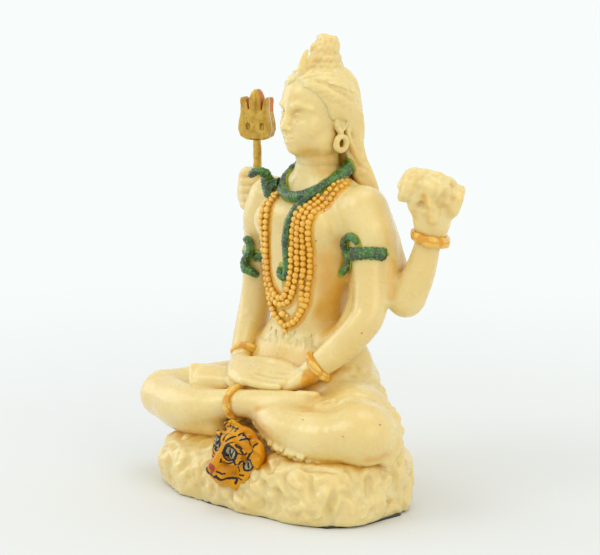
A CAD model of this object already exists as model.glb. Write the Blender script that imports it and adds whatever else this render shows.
# %% [markdown]
# # A cast resin shiva figure, in Blender
# The object is a small souvenir figure, about 124 mm tall, cast in cream resin and touched up with green, gold
# and orange paint. A metal trident stands in its raised right fist. The whole body is one soft, rounded casting.
# Put together from many meshes, it would show every joint. So it is made the way a modeller builds it in clay:
# round forms are laid down one by one and smoothed into each other, and only then come carving and paint.

import bpy
import numpy as np
from mathutils import Matrix


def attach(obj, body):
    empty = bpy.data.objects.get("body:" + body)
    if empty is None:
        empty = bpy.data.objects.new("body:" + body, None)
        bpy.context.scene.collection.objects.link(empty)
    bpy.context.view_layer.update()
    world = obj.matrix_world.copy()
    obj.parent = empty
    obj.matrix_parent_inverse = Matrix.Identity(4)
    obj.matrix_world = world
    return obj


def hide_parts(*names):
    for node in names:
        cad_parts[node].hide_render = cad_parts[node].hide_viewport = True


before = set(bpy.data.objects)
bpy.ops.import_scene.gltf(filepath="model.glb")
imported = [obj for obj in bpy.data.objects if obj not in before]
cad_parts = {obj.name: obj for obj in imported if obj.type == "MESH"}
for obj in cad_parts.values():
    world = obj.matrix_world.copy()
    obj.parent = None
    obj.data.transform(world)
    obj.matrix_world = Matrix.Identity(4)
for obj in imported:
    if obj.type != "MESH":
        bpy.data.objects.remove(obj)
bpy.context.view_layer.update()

SEAT = 15.0  # mm from the table to the seat: all measurements of the figure count from the seat
MM = 0.001

# %% [markdown]
# ## Curves
# Limbs, snakes and locks of hair all follow a smooth line through a few stations. A station is a row of
# numbers: a place and, where it is needed, the half width and half thickness there. One function carries all
# the numbers of a row along together, so a wrist narrows as smoothly as it bends.


# %% A smooth line through stations
def curve(stations, count):
    """Rows at even steps along the stations: between two rows the value follows a cubic that starts and ends
    with the slope of the line through each row's neighbours."""
    rows = np.asarray(stations, float)
    last = len(rows) - 1
    t = np.linspace(0, last, count)
    i = np.minimum(t.astype(int), last - 1)
    f = (t - i)[:, None]
    before, here, there = rows[np.maximum(i - 1, 0)], rows[i], rows[i + 1]
    after = rows[np.minimum(i + 2, last)]
    f2, f3 = f * f, f * f * f
    ends = (2 * f3 - 3 * f2 + 1) * here + (3 * f2 - 2 * f3) * there
    return ends + (f3 - 2 * f2 + f) * (there - before) / 2 + (f3 - f2) * (after - here) / 2


def turned(degrees_xyz):
    """The 3 x 3 matrix of a turn about X, then Y, then Z."""
    a, b, c = np.radians(degrees_xyz)
    about_x = np.array([[1, 0, 0], [0, np.cos(a), -np.sin(a)], [0, np.sin(a), np.cos(a)]])
    about_y = np.array([[np.cos(b), 0, np.sin(b)], [0, 1, 0], [-np.sin(b), 0, np.cos(b)]])
    about_z = np.array([[np.cos(c), -np.sin(c), 0], [np.sin(c), np.cos(c), 0], [0, 0, 1]])
    return about_z @ about_y @ about_x


def unit(v):
    """Rows scaled to length one."""
    v = np.asarray(v, float)
    return v / np.maximum(np.linalg.norm(v, axis=-1, keepdims=True), 1e-9)


def ramp(value, low, high):
    """0 below low, 1 above high, and a smooth S between them."""
    t = np.clip((value - low) / (high - low), 0, 1)
    return t * t * (3 - 2 * t)


def lumps(points, size, seed, waves=14):
    """Soft lumps of about the given size: the mean of plane cosine waves in random directions."""
    chance = np.random.RandomState(seed)
    ways = unit(chance.normal(size=(waves, 3))) * (2 * np.pi / size) * chance.uniform(0.7, 1.4, (waves, 1))
    phase = chance.uniform(0, 2 * np.pi, waves)
    return np.cos(points @ ways.T + phase).sum(1) / np.sqrt(waves / 2)


def along_line(points, line, wide, fade):
    """1 within wide of a line of points and 0 beyond wide + fade, by the distance to its nearest piece."""
    line = np.asarray(line, float)
    nearest = np.full(len(points), 1e9)
    box = ((points > line[:, :3].min(0) - wide - fade) & (points < line[:, :3].max(0) + wide + fade)).all(1)
    if not box.any():
        return np.zeros(len(points))
    some = points[box]
    best = np.full(len(some), 1e9)
    for a, b in zip(line[:-1, :3], line[1:, :3]):
        run = b - a
        t = np.clip((some - a) @ run / max(run @ run, 1e-9), 0, 1)
        best = np.minimum(best, ((some - a - t[:, None] * run) ** 2).sum(1))
    nearest[box] = best
    return 1 - ramp(np.sqrt(nearest), wide, wide + fade)


# %% [markdown]
# ## Clay
# A block of clay is a grid of numbers: at each grid point, how far the nearest surface is, negative inside.
# Laying on a form takes the smaller of two distances, and where the two are close a little extra is taken
# off, which fills the corner between them like a thumb would. Digging is the same with the sign turned. The
# surface is then wherever the number passes through nothing. This suits a casting: forms flow into each
# other, creases stay soft, and the same numbers tell later how deep in a crease each point lies.


# %% The clay block
class Clay:
    """A grid of distances in millimetres over a box."""

    def __init__(self, low, high, step):
        self.low, self.step = np.array(low, float), step
        self.shape = np.ceil((np.array(high) - self.low) / step).astype(int) + 1
        self.f = np.full(self.shape, 6.0, np.float32)
        self.axes = [self.low[k] + step * np.arange(self.shape[k]) for k in range(3)]

    def window(self, low, high, room):
        """The slices of the grid within a box that is room larger all round, and its coordinates."""
        a = np.clip(np.floor((np.asarray(low) - room - self.low) / self.step + 1e-6).astype(int), 0, self.shape)
        b = np.clip(np.ceil((np.asarray(high) + room - self.low) / self.step - 1e-6).astype(int) + 1, 0, self.shape)
        part = tuple(slice(a[k], max(b[k], a[k])) for k in range(3))
        x, y, z = (self.axes[k][part[k]].astype(np.float32) for k in range(3))
        return part, x[:, None, None], y[None, :, None], z[None, None, :]

    def lay(self, part, d, soft, dig=False):
        """Joins distances d to the block: min(f, d) less a rounded corner soft wide. To dig, f's sign is turned
        before and after."""
        sign = -1 if dig else 1
        held = sign * self.f[part]
        h = np.maximum(soft - np.abs(held - d), 0) / soft
        self.f[part] = sign * (np.minimum(held, d) - h * h * soft / 4)

    def egg(self, centre, radii, turn=(0, 0, 0), soft=1.0, dig=False):
        """An ellipsoid: k0 (k0 - 1) / k1, with k0 the length of q / r, and k1 the length of q / r squared."""
        r, m = np.array(radii, float), turned(turn)
        half = np.sqrt(((m * r) ** 2).sum(1))
        part, x, y, z = self.window(centre - half, centre + half, soft + 1.2)
        off = [x - centre[0], y - centre[1], z - centre[2]]
        k0 = k1 = 1e-9
        for k in range(3):
            q = sum(m[j, k] * off[j] for j in range(3))
            k0 = k0 + (q / r[k]) ** 2
            k1 = k1 + (q / r[k] ** 2) ** 2
        k0 = np.sqrt(k0)
        self.lay(part, k0 * (k0 - 1) / np.sqrt(k1), soft, dig)

    def limb(self, stations, wide=(0, 0, 1), soft=1.0, dig=False, count=None):
        """A tube of elliptical section with round ends along a curve: the least of its pieces' distances."""
        rows = curve(stations, count or 5 * len(stations) - 4)
        middle, half = rows[:, :3], rows[:, 3:5] if rows.shape[1] > 4 else np.repeat(rows[:, 3:4], 2, 1)
        low, high = (middle - half.max(1)[:, None]).min(0), (middle + half.max(1)[:, None]).max(0)
        room = soft + 1.2
        part, *_ = self.window(low, high, room)
        d = np.full(tuple(s.stop - s.start for s in part), 6.0, np.float32)
        if d.size == 0:
            return
        for i in range(len(middle) - 1):
            a, b = middle[i], middle[i + 1]
            big = half[i:i + 2].max()
            sub, x, y, z = self.window(np.maximum(np.minimum(a, b) - big, low),
                                       np.minimum(np.maximum(a, b) + big, high), room)
            inner = tuple(slice(s.start - p.start, s.stop - p.start) for s, p in zip(sub, part))
            along = b - a
            long2 = along @ along
            way = along / np.sqrt(long2)
            across = unit(np.asarray(wide, float) - way * (way @ np.asarray(wide, float)))
            up = np.cross(way, across)
            t = np.clip(((x - a[0]) * along[0] + (y - a[1]) * along[1] + (z - a[2]) * along[2]) / long2, 0, 1)
            q = [x - a[0] - t * along[0], y - a[1] - t * along[1], z - a[2] - t * along[2]]
            w = half[i, 0] + (half[i + 1, 0] - half[i, 0]) * t
            h = half[i, 1] + (half[i + 1, 1] - half[i, 1]) * t
            parts = ((across, w), (up, h), (way, np.minimum(w, h)))
            k0 = k1 = 1e-9
            for axis, r in parts:
                s = q[0] * axis[0] + q[1] * axis[1] + q[2] * axis[2]
                k0 = k0 + (s / r) ** 2
                k1 = k1 + (s / (r * r)) ** 2
            k0 = np.sqrt(k0)
            np.minimum(d[inner], k0 * (k0 - 1) / np.sqrt(k1), out=d[inner])
        self.lay(part, d, soft, dig)

    def turned_form(self, levels, low_z, high_z, soft=1.0, power=2.0):
        """A form turned on levels [z, x, y, half width, half depth], with an oval or squarer section."""
        table = curve(levels, 8 * len(levels))
        big = table[:, 3:5].max()
        part, x, y, z = self.window((-big, table[:, 2].min() - big, low_z), (big, table[:, 2].max() + big, high_z), 1)
        zs = z.ravel()
        cx, cy, w, h = (np.interp(zs, table[:, 0], table[:, k])[None, None, :] for k in (1, 2, 3, 4))
        u, v = np.abs(x - cx) / w + 1e-6, np.abs(y - cy) / h + 1e-6
        k = (u ** power + v ** power) ** (1 / power)
        slope = np.sqrt((u ** (power - 1) / w) ** 2 + (v ** (power - 1) / h) ** 2) * k ** (1 - power)
        d = np.maximum((k - 1) / slope, np.maximum(low_z - z, z - high_z))
        self.lay(part, d.astype(np.float32), soft)

    def crumple(self, line, wide, size, amount, seed, ridged=0.0):
        """Lumps of a size added to the distances within wide of a line of points; ridged folds them into sharp
        creases by taking their absolute value instead."""
        line = np.asarray(line, float)
        part, x, y, z = self.window(line.min(0), line.max(0), wide)
        shape = np.broadcast_shapes(x.shape, y.shape, z.shape)
        near = np.abs(self.f[part]) < 1.5
        points = np.stack([np.broadcast_to(a, shape)[near] for a in (x, y, z)], 1).astype(float)
        share = along_line(points, line, 0.45 * wide, 0.55 * wide)
        rough = lumps(points, size, seed)
        rough = (1 - ridged) * rough + ridged * (1.2 * np.abs(lumps(points, 1.5 * size, seed + 1)) - 0.9)
        held = self.f[part]
        held[near] -= (amount * share * rough).astype(np.float32)
        self.f[part] = held

    def at(self, points):
        """The block's value at any points: the mean of the eight grid points round each, weighed by nearness."""
        g = np.clip((points - self.low) / self.step, 0, self.shape - 1.001)
        i = g.astype(int)
        f = g - i
        total = 0.0
        for dx in (0, 1):
            for dy in (0, 1):
                for dz in (0, 1):
                    weight = (abs(1 - dx - f[:, 0]) * abs(1 - dy - f[:, 1]) * abs(1 - dz - f[:, 2]))
                    total = total + weight * self.f[i[:, 0] + dx, i[:, 1] + dy, i[:, 2] + dz]
        return total

    def slope(self, points):
        """The direction in which the distance grows, from differences half a grid step off on each axis."""
        e = np.eye(3) * self.step * 0.5
        return np.stack([self.at(points + e[k]) - self.at(points - e[k]) for k in range(3)], 1) / self.step

    def skin(self):
        """The surface as points and four-sided faces: one point in each grid cell that the surface crosses, at
        the mean of its crossings, and one face round each crossed grid edge."""
        f, s = self.f, self.f < 0
        corners = [s[i:i + s.shape[0] - 1, j:j + s.shape[1] - 1, k:k + s.shape[2] - 1].astype(np.int8)
                   for i in (0, 1) for j in (0, 1) for k in (0, 1)]
        count = sum(corners)
        mixed = (count > 0) & (count < 8)
        number = np.full(mixed.shape, -1, np.int32)
        number[mixed] = np.arange(mixed.sum())
        cell = np.stack(np.nonzero(mixed), 1)
        total, crossings = np.zeros(cell.shape), np.zeros(len(cell))
        for axis in range(3):
            for u in (0, 1):
                for v in (0, 1):
                    start = np.zeros(3, int)
                    start[(axis + 1) % 3], start[(axis + 2) % 3] = u, v
                    a = cell + start
                    b = a + np.eye(3, dtype=int)[axis]
                    fa, fb = f[tuple(a.T)], f[tuple(b.T)]
                    crosses = (fa < 0) != (fb < 0)
                    t = np.where(crosses, fa / np.where(crosses, fa - fb, 1), 0)
                    total += crosses[:, None] * (start + t[:, None] * np.eye(3)[axis])
                    crossings += crosses
        points = self.low + self.step * (cell + total / crossings[:, None])
        faces = []
        for axis in range(3):
            one, two = (axis + 1) % 3, (axis + 2) % 3
            low, high = [slice(None)] * 3, [slice(None)] * 3
            low[axis], high[axis] = slice(0, -1), slice(1, None)
            edge = np.stack(np.nonzero(s[tuple(low)] != s[tuple(high)]), 1)
            edge = edge[(edge[:, one] > 0) & (edge[:, two] > 0)]
            edge = edge[(edge[:, one] < s.shape[one] - 1) & (edge[:, two] < s.shape[two] - 1)]
            e1, e2 = np.eye(3, dtype=int)[one], np.eye(3, dtype=int)[two]
            ring = [number[tuple((edge - a * e1 - b * e2).T)] for a, b in ((1, 1), (0, 1), (0, 0), (1, 0))]
            quad = np.stack(ring, 1)
            outward = s[tuple(edge.T)]
            faces.append(np.where(outward[:, None], quad, quad[:, ::-1]))
        for _ in range(2):
            g = self.slope(points)
            pull = self.at(points)[:, None] * g / np.maximum((g * g).sum(1), 0.05)[:, None]
            points = points - np.clip(pull, -0.4 * self.step, 0.4 * self.step)
        return points, np.concatenate(faces)


# %% [markdown]
# ## From numbers to a Blender mesh
# A mesh needs three lists: where its points are, which points each face joins, and how many corners each face
# has. `foreach_set` copies whole arrays in at once. Paint and creases ride along as point attributes, numbers
# from 0 to 1 that the material reads, so no picture has to be wrapped round the figure.


# %% Making a piece
TOTAL = {}  # triangles by piece


def shown(name, data):
    """An object that holds a mesh, a light or a camera, linked into the scene so that it is seen."""
    thing = bpy.data.objects.new(name, data)
    bpy.context.scene.collection.objects.link(thing)
    return thing


def piece(name, points, faces, material, masks, node="figure"):
    """A mesh object at the origin from points in figure millimetres (z from the seat) and an array of faces."""
    mesh = bpy.data.meshes.new(name)
    place = (np.asarray(points, float) + [0, 0, SEAT]) * MM
    mesh.vertices.add(len(place))
    mesh.vertices.foreach_set("co", place.astype(np.float32).ravel())
    blocks = faces if isinstance(faces, list) else [faces]
    loops = np.concatenate([b.ravel() for b in blocks])
    sizes = np.concatenate([np.full(len(b), b.shape[1]) for b in blocks])
    mesh.loops.add(len(loops))
    mesh.loops.foreach_set("vertex_index", loops.astype(np.int32))
    mesh.polygons.add(len(sizes))
    mesh.polygons.foreach_set("loop_start", np.concatenate([[0], np.cumsum(sizes)[:-1]]).astype(np.int32))
    mesh.polygons.foreach_set("loop_total", sizes.astype(np.int32))
    mesh.update(calc_edges=True)
    mesh.validate()
    mesh.shade_smooth()
    for key, value in masks.items():
        layer = mesh.attributes.new(key, "FLOAT", "POINT")
        layer.data.foreach_set("value", np.clip(value, 0, 1).astype(np.float32))
    mesh.materials.append(material)
    thing = shown(name, mesh)
    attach(thing, "root")
    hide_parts(node)
    TOTAL[name] = int((sizes - 2).sum())
    print(name, len(place), "points", TOTAL[name], "triangles")
    return thing


def carried(path, section, closed=False):
    """Points of a section carried along a path, ring by ring: place + x across + y up, where across keeps as
    near to the section's own reference as the path's direction lets it. Returns points and faces, with the
    ends drawn together to a point each."""
    middle, across, up = path
    n, m = len(middle), section.shape[1]
    rings = middle[:, None] + section[..., 0:1] * across[:, None] + section[..., 1:2] * up[:, None]
    points = rings.reshape(-1, 3)
    i, j = np.meshgrid(np.arange(n if closed else n - 1), np.arange(m), indexing="ij")
    a, b = (i * m + j).ravel(), (i * m + (j + 1) % m).ravel()
    c, d = (((i + 1) % n) * m + (j + 1) % m).ravel(), (((i + 1) % n) * m + j).ravel()
    faces = [np.stack([a, b, c, d], 1)]
    if not closed:
        j = np.arange(m)
        ends = [rings[0].mean(0), rings[-1].mean(0)]
        points = np.concatenate([points, ends])
        faces.append(np.stack([(j + 1) % m, j, np.full(m, n * m)], 1))
        faces.append(np.stack([(n - 1) * m + j, (n - 1) * m + (j + 1) % m, np.full(m, n * m + 1)], 1))
    return points, faces


def frames(middle, toward, closed=False):
    """Directions across and up at each point of a line: toward less its part along the line, and the cross
    product of the two."""
    ahead, behind = np.roll(middle, -1, 0), np.roll(middle, 1, 0)
    way = ahead - behind
    if not closed:
        way[0], way[-1] = middle[1] - middle[0], middle[-1] - middle[-2]
    way = unit(way)
    toward = np.broadcast_to(np.asarray(toward, float), middle.shape)
    across = unit(toward - way * (way * toward).sum(1)[:, None])
    return middle, across, np.cross(way, across)


# %% [markdown]
# ## The skeleton
# The stations of the body, in millimetres from the seat: x to the figure's left, y backwards, z up, then the
# half width and half thickness. They are the lines on which the clay is laid. The two lap arms come down to
# the wrists in front, the two raised arms grow from behind the shoulders, and the legs cross in full lotus.
# Kept apart from the shaping, they let a limb be moved without touching its form.

# %% Torso levels and the lines of arms and legs
HIPS = [[-1, 0, 8.5, 21, 12], [9, 0, 8.8, 23.6, 14.2], [18, 0, 10.2, 21.6, 14], [23.5, 0, 11.3, 18.2, 12.7],
        [25.6, 0, 11.7, 16.7, 12.1], [27, 0, 11.9, 15, 11.1], [29, 0, 12, 13, 10], [31, 0, 12, 11, 8.5]]
TORSO = [[24, 0, 11.4, 17.8, 12.4], [28, 0, 12, 14.8, 11.1], [31, 0, 12.1, 12.9, 9.8], [34, 0, 12, 12.2, 9.2],
         [38, 0, 12, 12.6, 9.3], [47, 0, 12, 15.6, 10.6], [55, 0, 12.2, 17.2, 11], [62, 0, 12.8, 16.6, 9.6],
         [67, 0, 13.8, 13, 7.4], [71, 0, 14.2, 7.6, 6.4], [74, 0, 14.0, 5.9, 5.8], [78, 0, 13.9, 5.2, 5.2]]
LEFT_ARM = [[17.8, 13.6, 63, 6.2, 6.2], [20.5, 13.1, 57.6, 6.5, 6.3], [22.1, 11.7, 49, 5.1, 4.8],
            [24.4, 9.2, 38, 4.6, 4.6], [23.2, 6.0, 32.4, 4.4, 4.5], [18.2, 2.2, 25.9, 4.1, 4.0],
            [12.6, -2, 20, 3.1, 3]]
RIGHT_ARM = [[-17.6, 13.4, 63, 6, 6], [-19.6, 13.2, 57.6, 6.3, 6], [-20.8, 13, 49, 5.2, 5],
             [-21.4, 12, 37, 4.6, 4.6], [-21, 9.6, 29, 4.4, 4.6], [-17.2, 3.4, 23.4, 4.0, 4.0],
             [-13.2, -2.4, 19.4, 3.1, 3]]
LEFT_RAISED = [[15.4, 17.8, 62, 5.6], [19.5, 18.2, 54, 5.4], [24.6, 18.4, 44.4, 4.9], [29.2, 17.8, 39.6, 4.7],
               [31.6, 18, 43, 4.6], [34, 18.8, 49, 4], [36, 19.6, 57, 3.2]]
RIGHT_RAISED = [[-14.6, 17.6, 60, 5.2], [-18.6, 19, 53, 5.2], [-23.4, 20, 44, 4.8], [-26, 20.2, 39, 4.8],
                [-27, 20.4, 43, 4.3], [-28.4, 20.6, 49.5, 3.7], [-30.4, 19.8, 57, 3]]
LEFT_THIGH = [[10, 12, 9.5, 10, 10.5], [24, 4.5, 8.6, 8.8, 9.4], [35, -5, 7.8, 7.4, 8.4]]
LEFT_SHIN = [[35, -5.5, 7.6, 7.2, 8.4], [26, -11.5, 6.4, 6.6, 6.6], [14, -12.8, 7.2, 5.4, 5.2], [2, -9, 10.5, 4, 4]]
RIGHT_THIGH = [[-10, 12, 9.6, 9.8, 10.2], [-25, 3, 8.6, 8.4, 8.4], [-38.8, -7.6, 7.2, 6.6, 5.9]]
RIGHT_SHIN = [[-38.8, -8.6, 7.2, 6.4, 5.8], [-27, -13, 7.2, 6.2, 5.9], [-14, -14.4, 8.8, 4.8, 5],
              [-5.6, -12.8, 11, 3.6, 3.8]]
RIGHT_FOOT = [[-5, -12.6, 11, 3.5, 3.3], [2, -12.2, 11.7, 3.9, 3.1], [9.4, -10.2, 12.5, 3.9, 2.9],
              [15.6, -7.8, 13.2, 3.1, 2.3]]
LEFT_FOOT = [[-4, -4, 13.6, 3.3, 3.2], [-10, -6.4, 15, 3.7, 2.9], [-16, -9, 15.8, 3.8, 2.4], [-20, -11, 16, 3.6, 2]]
print("stations", len(TORSO), "in the torso,", len(LEFT_ARM), "in an arm")

# %% [markdown]
# ## Torso and arms
# The chest is broad and the waist narrow, with soft breast muscles, round shoulders and no hard line
# anywhere. The upper arms melt into the shoulders, but lower down each arm only touches the body, with a
# crease between them. One smoothing for all would weld them to the waist, so it is wide at the shoulder and
# narrow further on.

# %% Laying down the torso and the four arms
torso = Clay((-39, -7, 16), (43, 29, 78), 0.44)
torso.turned_form(TORSO, 24.6, 77, power=2.1)
for side in (-1, 1):
    torso.egg((side * 6.6, 5.0, 58.6), (7.2, 3.6, 5.4), (8, 0, side * -10), soft=3.0)
    torso.egg((side * 10.2, 14.6, 66.4), (9.4, 5.2, 4.0), (0, side * 24, 0), soft=3.0)
    torso.egg((side * 8.4, 21.0, 58), (6.6, 3.2, 8.5), soft=4.0)
torso.egg((0, 4.6, 39), (8.8, 3.2, 8.2), soft=3.5)
torso.limb([[0, 23.6, 34, 0.9], [0, 24.2, 48, 0.9], [0, 25, 60, 0.9]], soft=2.6, dig=True)
for arm, raised in ((LEFT_ARM, LEFT_RAISED), (RIGHT_ARM, RIGHT_RAISED)):
    torso.limb(raised[:2], soft=3.0)
    torso.limb(arm[:2], wide=(1, -1, 0), soft=3.4)
    torso.limb(raised, soft=0.9)
    torso.limb(arm, wide=(1, -1, 0), soft=1.0)
torso.limb([[16.4, 14.2, 54, 3.2], [18.2, 12.6, 46, 3.4], [18.8, 11.0, 38, 3.4], [16.4, 9.0, 31, 3.4],
            [12.4, 6.6, 27, 3.0]], soft=2.2)
torso.limb([[22.6, 16.2, 56, 3.4], [25.6, 14.8, 48, 3.0], [26.6, 13.2, 41, 2.8]], soft=1.6)
print("torso grid", torso.shape)

# %% [markdown]
# ## Legs, feet and the cloth round the hips
# In full lotus each foot lies sole up on the other thigh. The thighs and shins are thick and rounded, the
# hips are wrapped in skin, and the toes are small rolls side by side. The skin's fur shows at its borders, as a
# fringe. Hair curves would be too fine for a casting, so each lock is one small tapering limb of clay.


# %% Laying down legs and feet
def foot(clay, line, toe_way, toe_side, small=1.0, soft=0.45):
    """A foot along its line, and five toes: short round rolls side by side, the big one first."""
    clay.limb(line, wide=toe_side, soft=1.6)
    tip, side, way = np.array(line[-1][:3]), unit(toe_side), unit(toe_way)
    for k, (reach, radius) in enumerate(((3.6, 1.15), (3.5, 0.88), (3.1, 0.82), (2.7, 0.78), (2.1, 0.75))):
        base = tip + side * (k - 1.9) * 1.62 * small
        clay.limb([[*(base - way * 1.2), radius * 0.95], [*(base + way * reach * small * 0.5), radius],
                   [*(base + way * reach * small), radius]], soft=soft)


legs = Clay((-48, -25, -4), (47, 27, 32), 0.395)
legs.turned_form(HIPS, -1, 30.6, power=2.1)
for line in (LEFT_THIGH, RIGHT_THIGH):
    legs.limb(line, soft=4.0)
legs.limb(LEFT_SHIN, soft=2.2)
legs.limb(RIGHT_SHIN, soft=1.6)
legs.egg((35.5, -4.8, 8), (8.6, 8.2, 7.8), soft=2.5)
legs.egg((-38, -7.4, 7.2), (7.2, 7.6, 5.6), soft=2.5)
foot(legs, LEFT_FOOT, (-0.84, -0.5, 0), (0.4, -0.72, -0.56), small=0.9, soft=0.8)
foot(legs, RIGHT_FOOT, (0.88, 0.46, 0.0), (-0.1, -0.35, -0.93), small=0.8, soft=0.9)
print("legs grid", legs.shape)

# %% The folds of the cloth
for side in (-1, 1):
    for k, (x, y, z) in enumerate(((14.6, 14.6, 21), (18.4, 11.8, 16), (20.8, 14.4, 11.5), (15, 17.6, 15.5))):
        legs.egg((side * x, y, z), (3.8, 3.4, 4.2), (0, side * 20, 15 * k), soft=2.4)
legs.egg((21.5, -1.6, 10.4), (6.4, 5.4, 4.6), (0, 10, 20), soft=2.0)
legs.egg((26.0, 3.0, 12.4), (7.0, 6.4, 5.6), (0, 12, -20), soft=2.4)
legs.limb([[7, -8.6, 8.6, 3.4], [14, -7.0, 9.2, 3.6], [21, -4.6, 10.2, 3.8], [26, -2.4, 11.2, 3.4]], soft=2.2)
legs.limb([[-12, -13.0, 3.4, 3.0], [-24, -12.0, 2.6, 3.6], [-33, -9.0, 2.6, 4.0], [-37, -3, 2.6, 4.0]], soft=2.4)
legs.limb([[28, 6.5, 13.6, 2.6], [35.4, 4.4, 11.6, 2.4], [39.6, 2.4, 8.6, 2.2], [41.4, 0.8, 5.2, 2.0],
           [41.2, -2.0, 1.6, 1.8]], soft=1.6)
legs.limb([[29.5, -1.2, 16.9, 0.45], [33.0, 0.9, 16.3, 0.6], [37.6, 1.2, 14.8, 0.7], [41.4, 0.2, 12.6, 0.75],
           [44.0, -1.0, 9.6, 0.75], [44.9, -2.8, 6.4, 0.75], [44.0, -6.0, 3.4, 0.6]], soft=0.9, dig=True)
legs.crumple([[19, 6, 20], [23, 10, 18], [26, 14, 14], [32, 8, 13], [41.6, 2.4, 8]], 4.6, 3.2, 0.34, 21, ridged=0.5)
legs.crumple([[19, -5.6, 14.6], [25, -4.6, 15.4], [31, -4.4, 16.2]], 3.2, 2.6, 0.2, 22, ridged=0.5)
print("cloth laid, deepest point", float(legs.f.min()))


# %% The fringe of fur
def tuft(clay, root, way, length, thick, bend, soft=0.5):
    """A small lock of fur: a tapering limb that leaves its root along way and bends aside."""
    root, way, bend = (np.asarray(v, float) for v in (root, unit(way), bend))
    clay.limb([[*(root - way * 0.4 * length), thick], [*(root + way * 0.45 * length + bend * 0.3), thick * 0.9],
               [*(root + way * length + bend), thick * 0.35]], soft=soft)


chance = np.random.RandomState(5)
SHIN_STEPS = 60
shin = curve(LEFT_SHIN, SHIN_STEPS)
for row, (steps, lift, out) in enumerate(((34, -0.92, 0.42), (34, -0.78, 0.66), (30, -0.6, 0.84))):
    for k in range(steps):
        share = 0.1 + 0.86 * (k + 0.5 * (row % 2)) / (steps - 1)
        at = shin[min(int(share * (SHIN_STEPS - 1)), SHIN_STEPS - 1)]
        fade = float(ramp(share, 0.1, 0.45))
        if row == 2 and share < 0.35:
            continue
        root = at[:3] + [0.25 * chance.normal(), -out * at[3], lift * at[4]]
        tuft(legs, root, (0.5 * chance.normal() - 0.3, -0.5, -0.8), (0.8 + 0.5 * chance.rand()) * (0.5 + 0.5 * fade),
             0.55 + 0.2 * chance.rand(), (0.5 * chance.normal(), -0.2, 0.2), soft=0.55)
for k in range(22):
    x = -6.5 + 17.5 * (k / 21) + 0.3 * chance.normal()
    z = 28.6 - 1.3 * (k % 3) + 0.5 * chance.normal()
    wide, deep = np.interp(z, [24, 28, 31], [17.8, 14.8, 12.9]), np.interp(z, [24, 28, 31], [12.4, 11.1, 9.8])
    tuft(legs, (x, 12.0 - deep * np.sqrt(max(1 - (x / wide) ** 2, 0)), z), (0.15 * chance.normal(), -0.25, -1),
         1.6 + 0.6 * chance.rand(), 0.34, (0.3 * chance.normal(), 0, 0), soft=0.9)
print("fringe laid")

# %% [markdown]
# ## The rock
# The seat is a low slab of rock, squarish with round corners and a little undercut. It is higher at the
# figure's left, and reaches further to the left and the front than to the right and the back. Its sides carry
# soft dents and shallow folds shaped like a U or a drop, as if pushed into wax with a spoon. A bump map would
# leave the outline smooth, so the folds are real: the slab is one formula, and they are thin round tools drawn
# along its face and dug away.

# %% The slab of rock
TO_LEFT, TO_RIGHT, TO_FRONT, TO_BACK = 41.4, 38.0, 24.2, 20.5  # half widths in mm
ROCK_HEIGHT = 14.2
GROW = np.array([[0, -1.0], [0.12, -0.2], [0.4, 0.2], [0.68, -0.2], [1.3, -0.5]])  # share of height, mm wider
DOME = np.array([[0, -3.6], [1.6, -1.42], [4.5, 0], [10.8, 2.5], [16, 3.3], [30, 3.6]])  # mm inward, mm above


def rock_distance(clay):
    """(u^p + v^p)^(1 / p) - 1 for u and v the shares of half widths that change with height and with the side,
    and p 3.4 or 2.6 by the corner, divided by its own slope so that it reads as millimetres; cut flat below,
    and above by a dome that rises with the distance from the side."""
    x, y, z = np.meshgrid(*[a.astype(np.float32) for a in clay.axes], indexing="ij")
    angle = np.arctan2(y, x)
    wavy = 0.375 * (np.sin(7 * angle + 0.14 * z) + np.sin(13 * angle - 0.32 * z))
    grow = np.interp((z + ROCK_HEIGHT) / ROCK_HEIGHT, *GROW.T) + wavy
    aside, ahead = np.where(x > 0, TO_LEFT, TO_RIGHT) + grow, np.where(y < 0, TO_FRONT, TO_BACK) + grow
    u, v, p = np.abs(x) / aside, np.abs(y) / ahead, np.where((x > 0) == (y < 0), 3.4, 2.6)
    k = (u ** p + v ** p + 1e-9) ** (1 / p)
    steep = np.sqrt((u ** (p - 1) / aside) ** 2 + (v ** (p - 1) / ahead) ** 2) * k ** (1 - p)
    side = (k - 1) / np.maximum(steep, 0.01)
    top = 0.93 * (z - 3.6 * (x + 1.2 * y) / 79.4 - np.interp(-side, *DOME.T))
    h = np.maximum(2.0 - np.abs(side - top), 0) / 2.0
    foot = -14.5 - 0.3 * ramp(-np.abs(x + 2) - 0.8 * y, -26.0, -14.0)
    return np.maximum(np.maximum(side, top) + h * h * 0.5, foot - z)


def on_rock(degrees, z):
    """The point of the slab's face in a direction from its middle and at a height."""
    a = np.radians(degrees)
    c, s = np.cos(a), np.sin(a)
    grow = np.interp((z + ROCK_HEIGHT) / ROCK_HEIGHT, *GROW.T) - 2.2 * max(0.0, (z + 2.6) / 2.6)
    p = 3.4 if (c > 0) == (s < 0) else 2.6
    r = 1 / ((abs(c) / ((TO_LEFT if c > 0 else TO_RIGHT) + grow)) ** p
             + (abs(s) / ((TO_FRONT if s < 0 else TO_BACK) + grow)) ** p) ** (1 / p)
    return np.array([r * c, r * s, z])


def on_face(degrees, z, lift):
    """The same, but found on the slab as it is laid, lumps and all: where the field is nearest to lift."""
    way = np.array([np.cos(np.radians(degrees)), np.sin(np.radians(degrees)), 0])
    tries = on_rock(degrees, z) + np.linspace(-3, 3, 61)[:, None] * way
    return tries[np.abs(rock.at(tries) - lift).argmin()]


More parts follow.
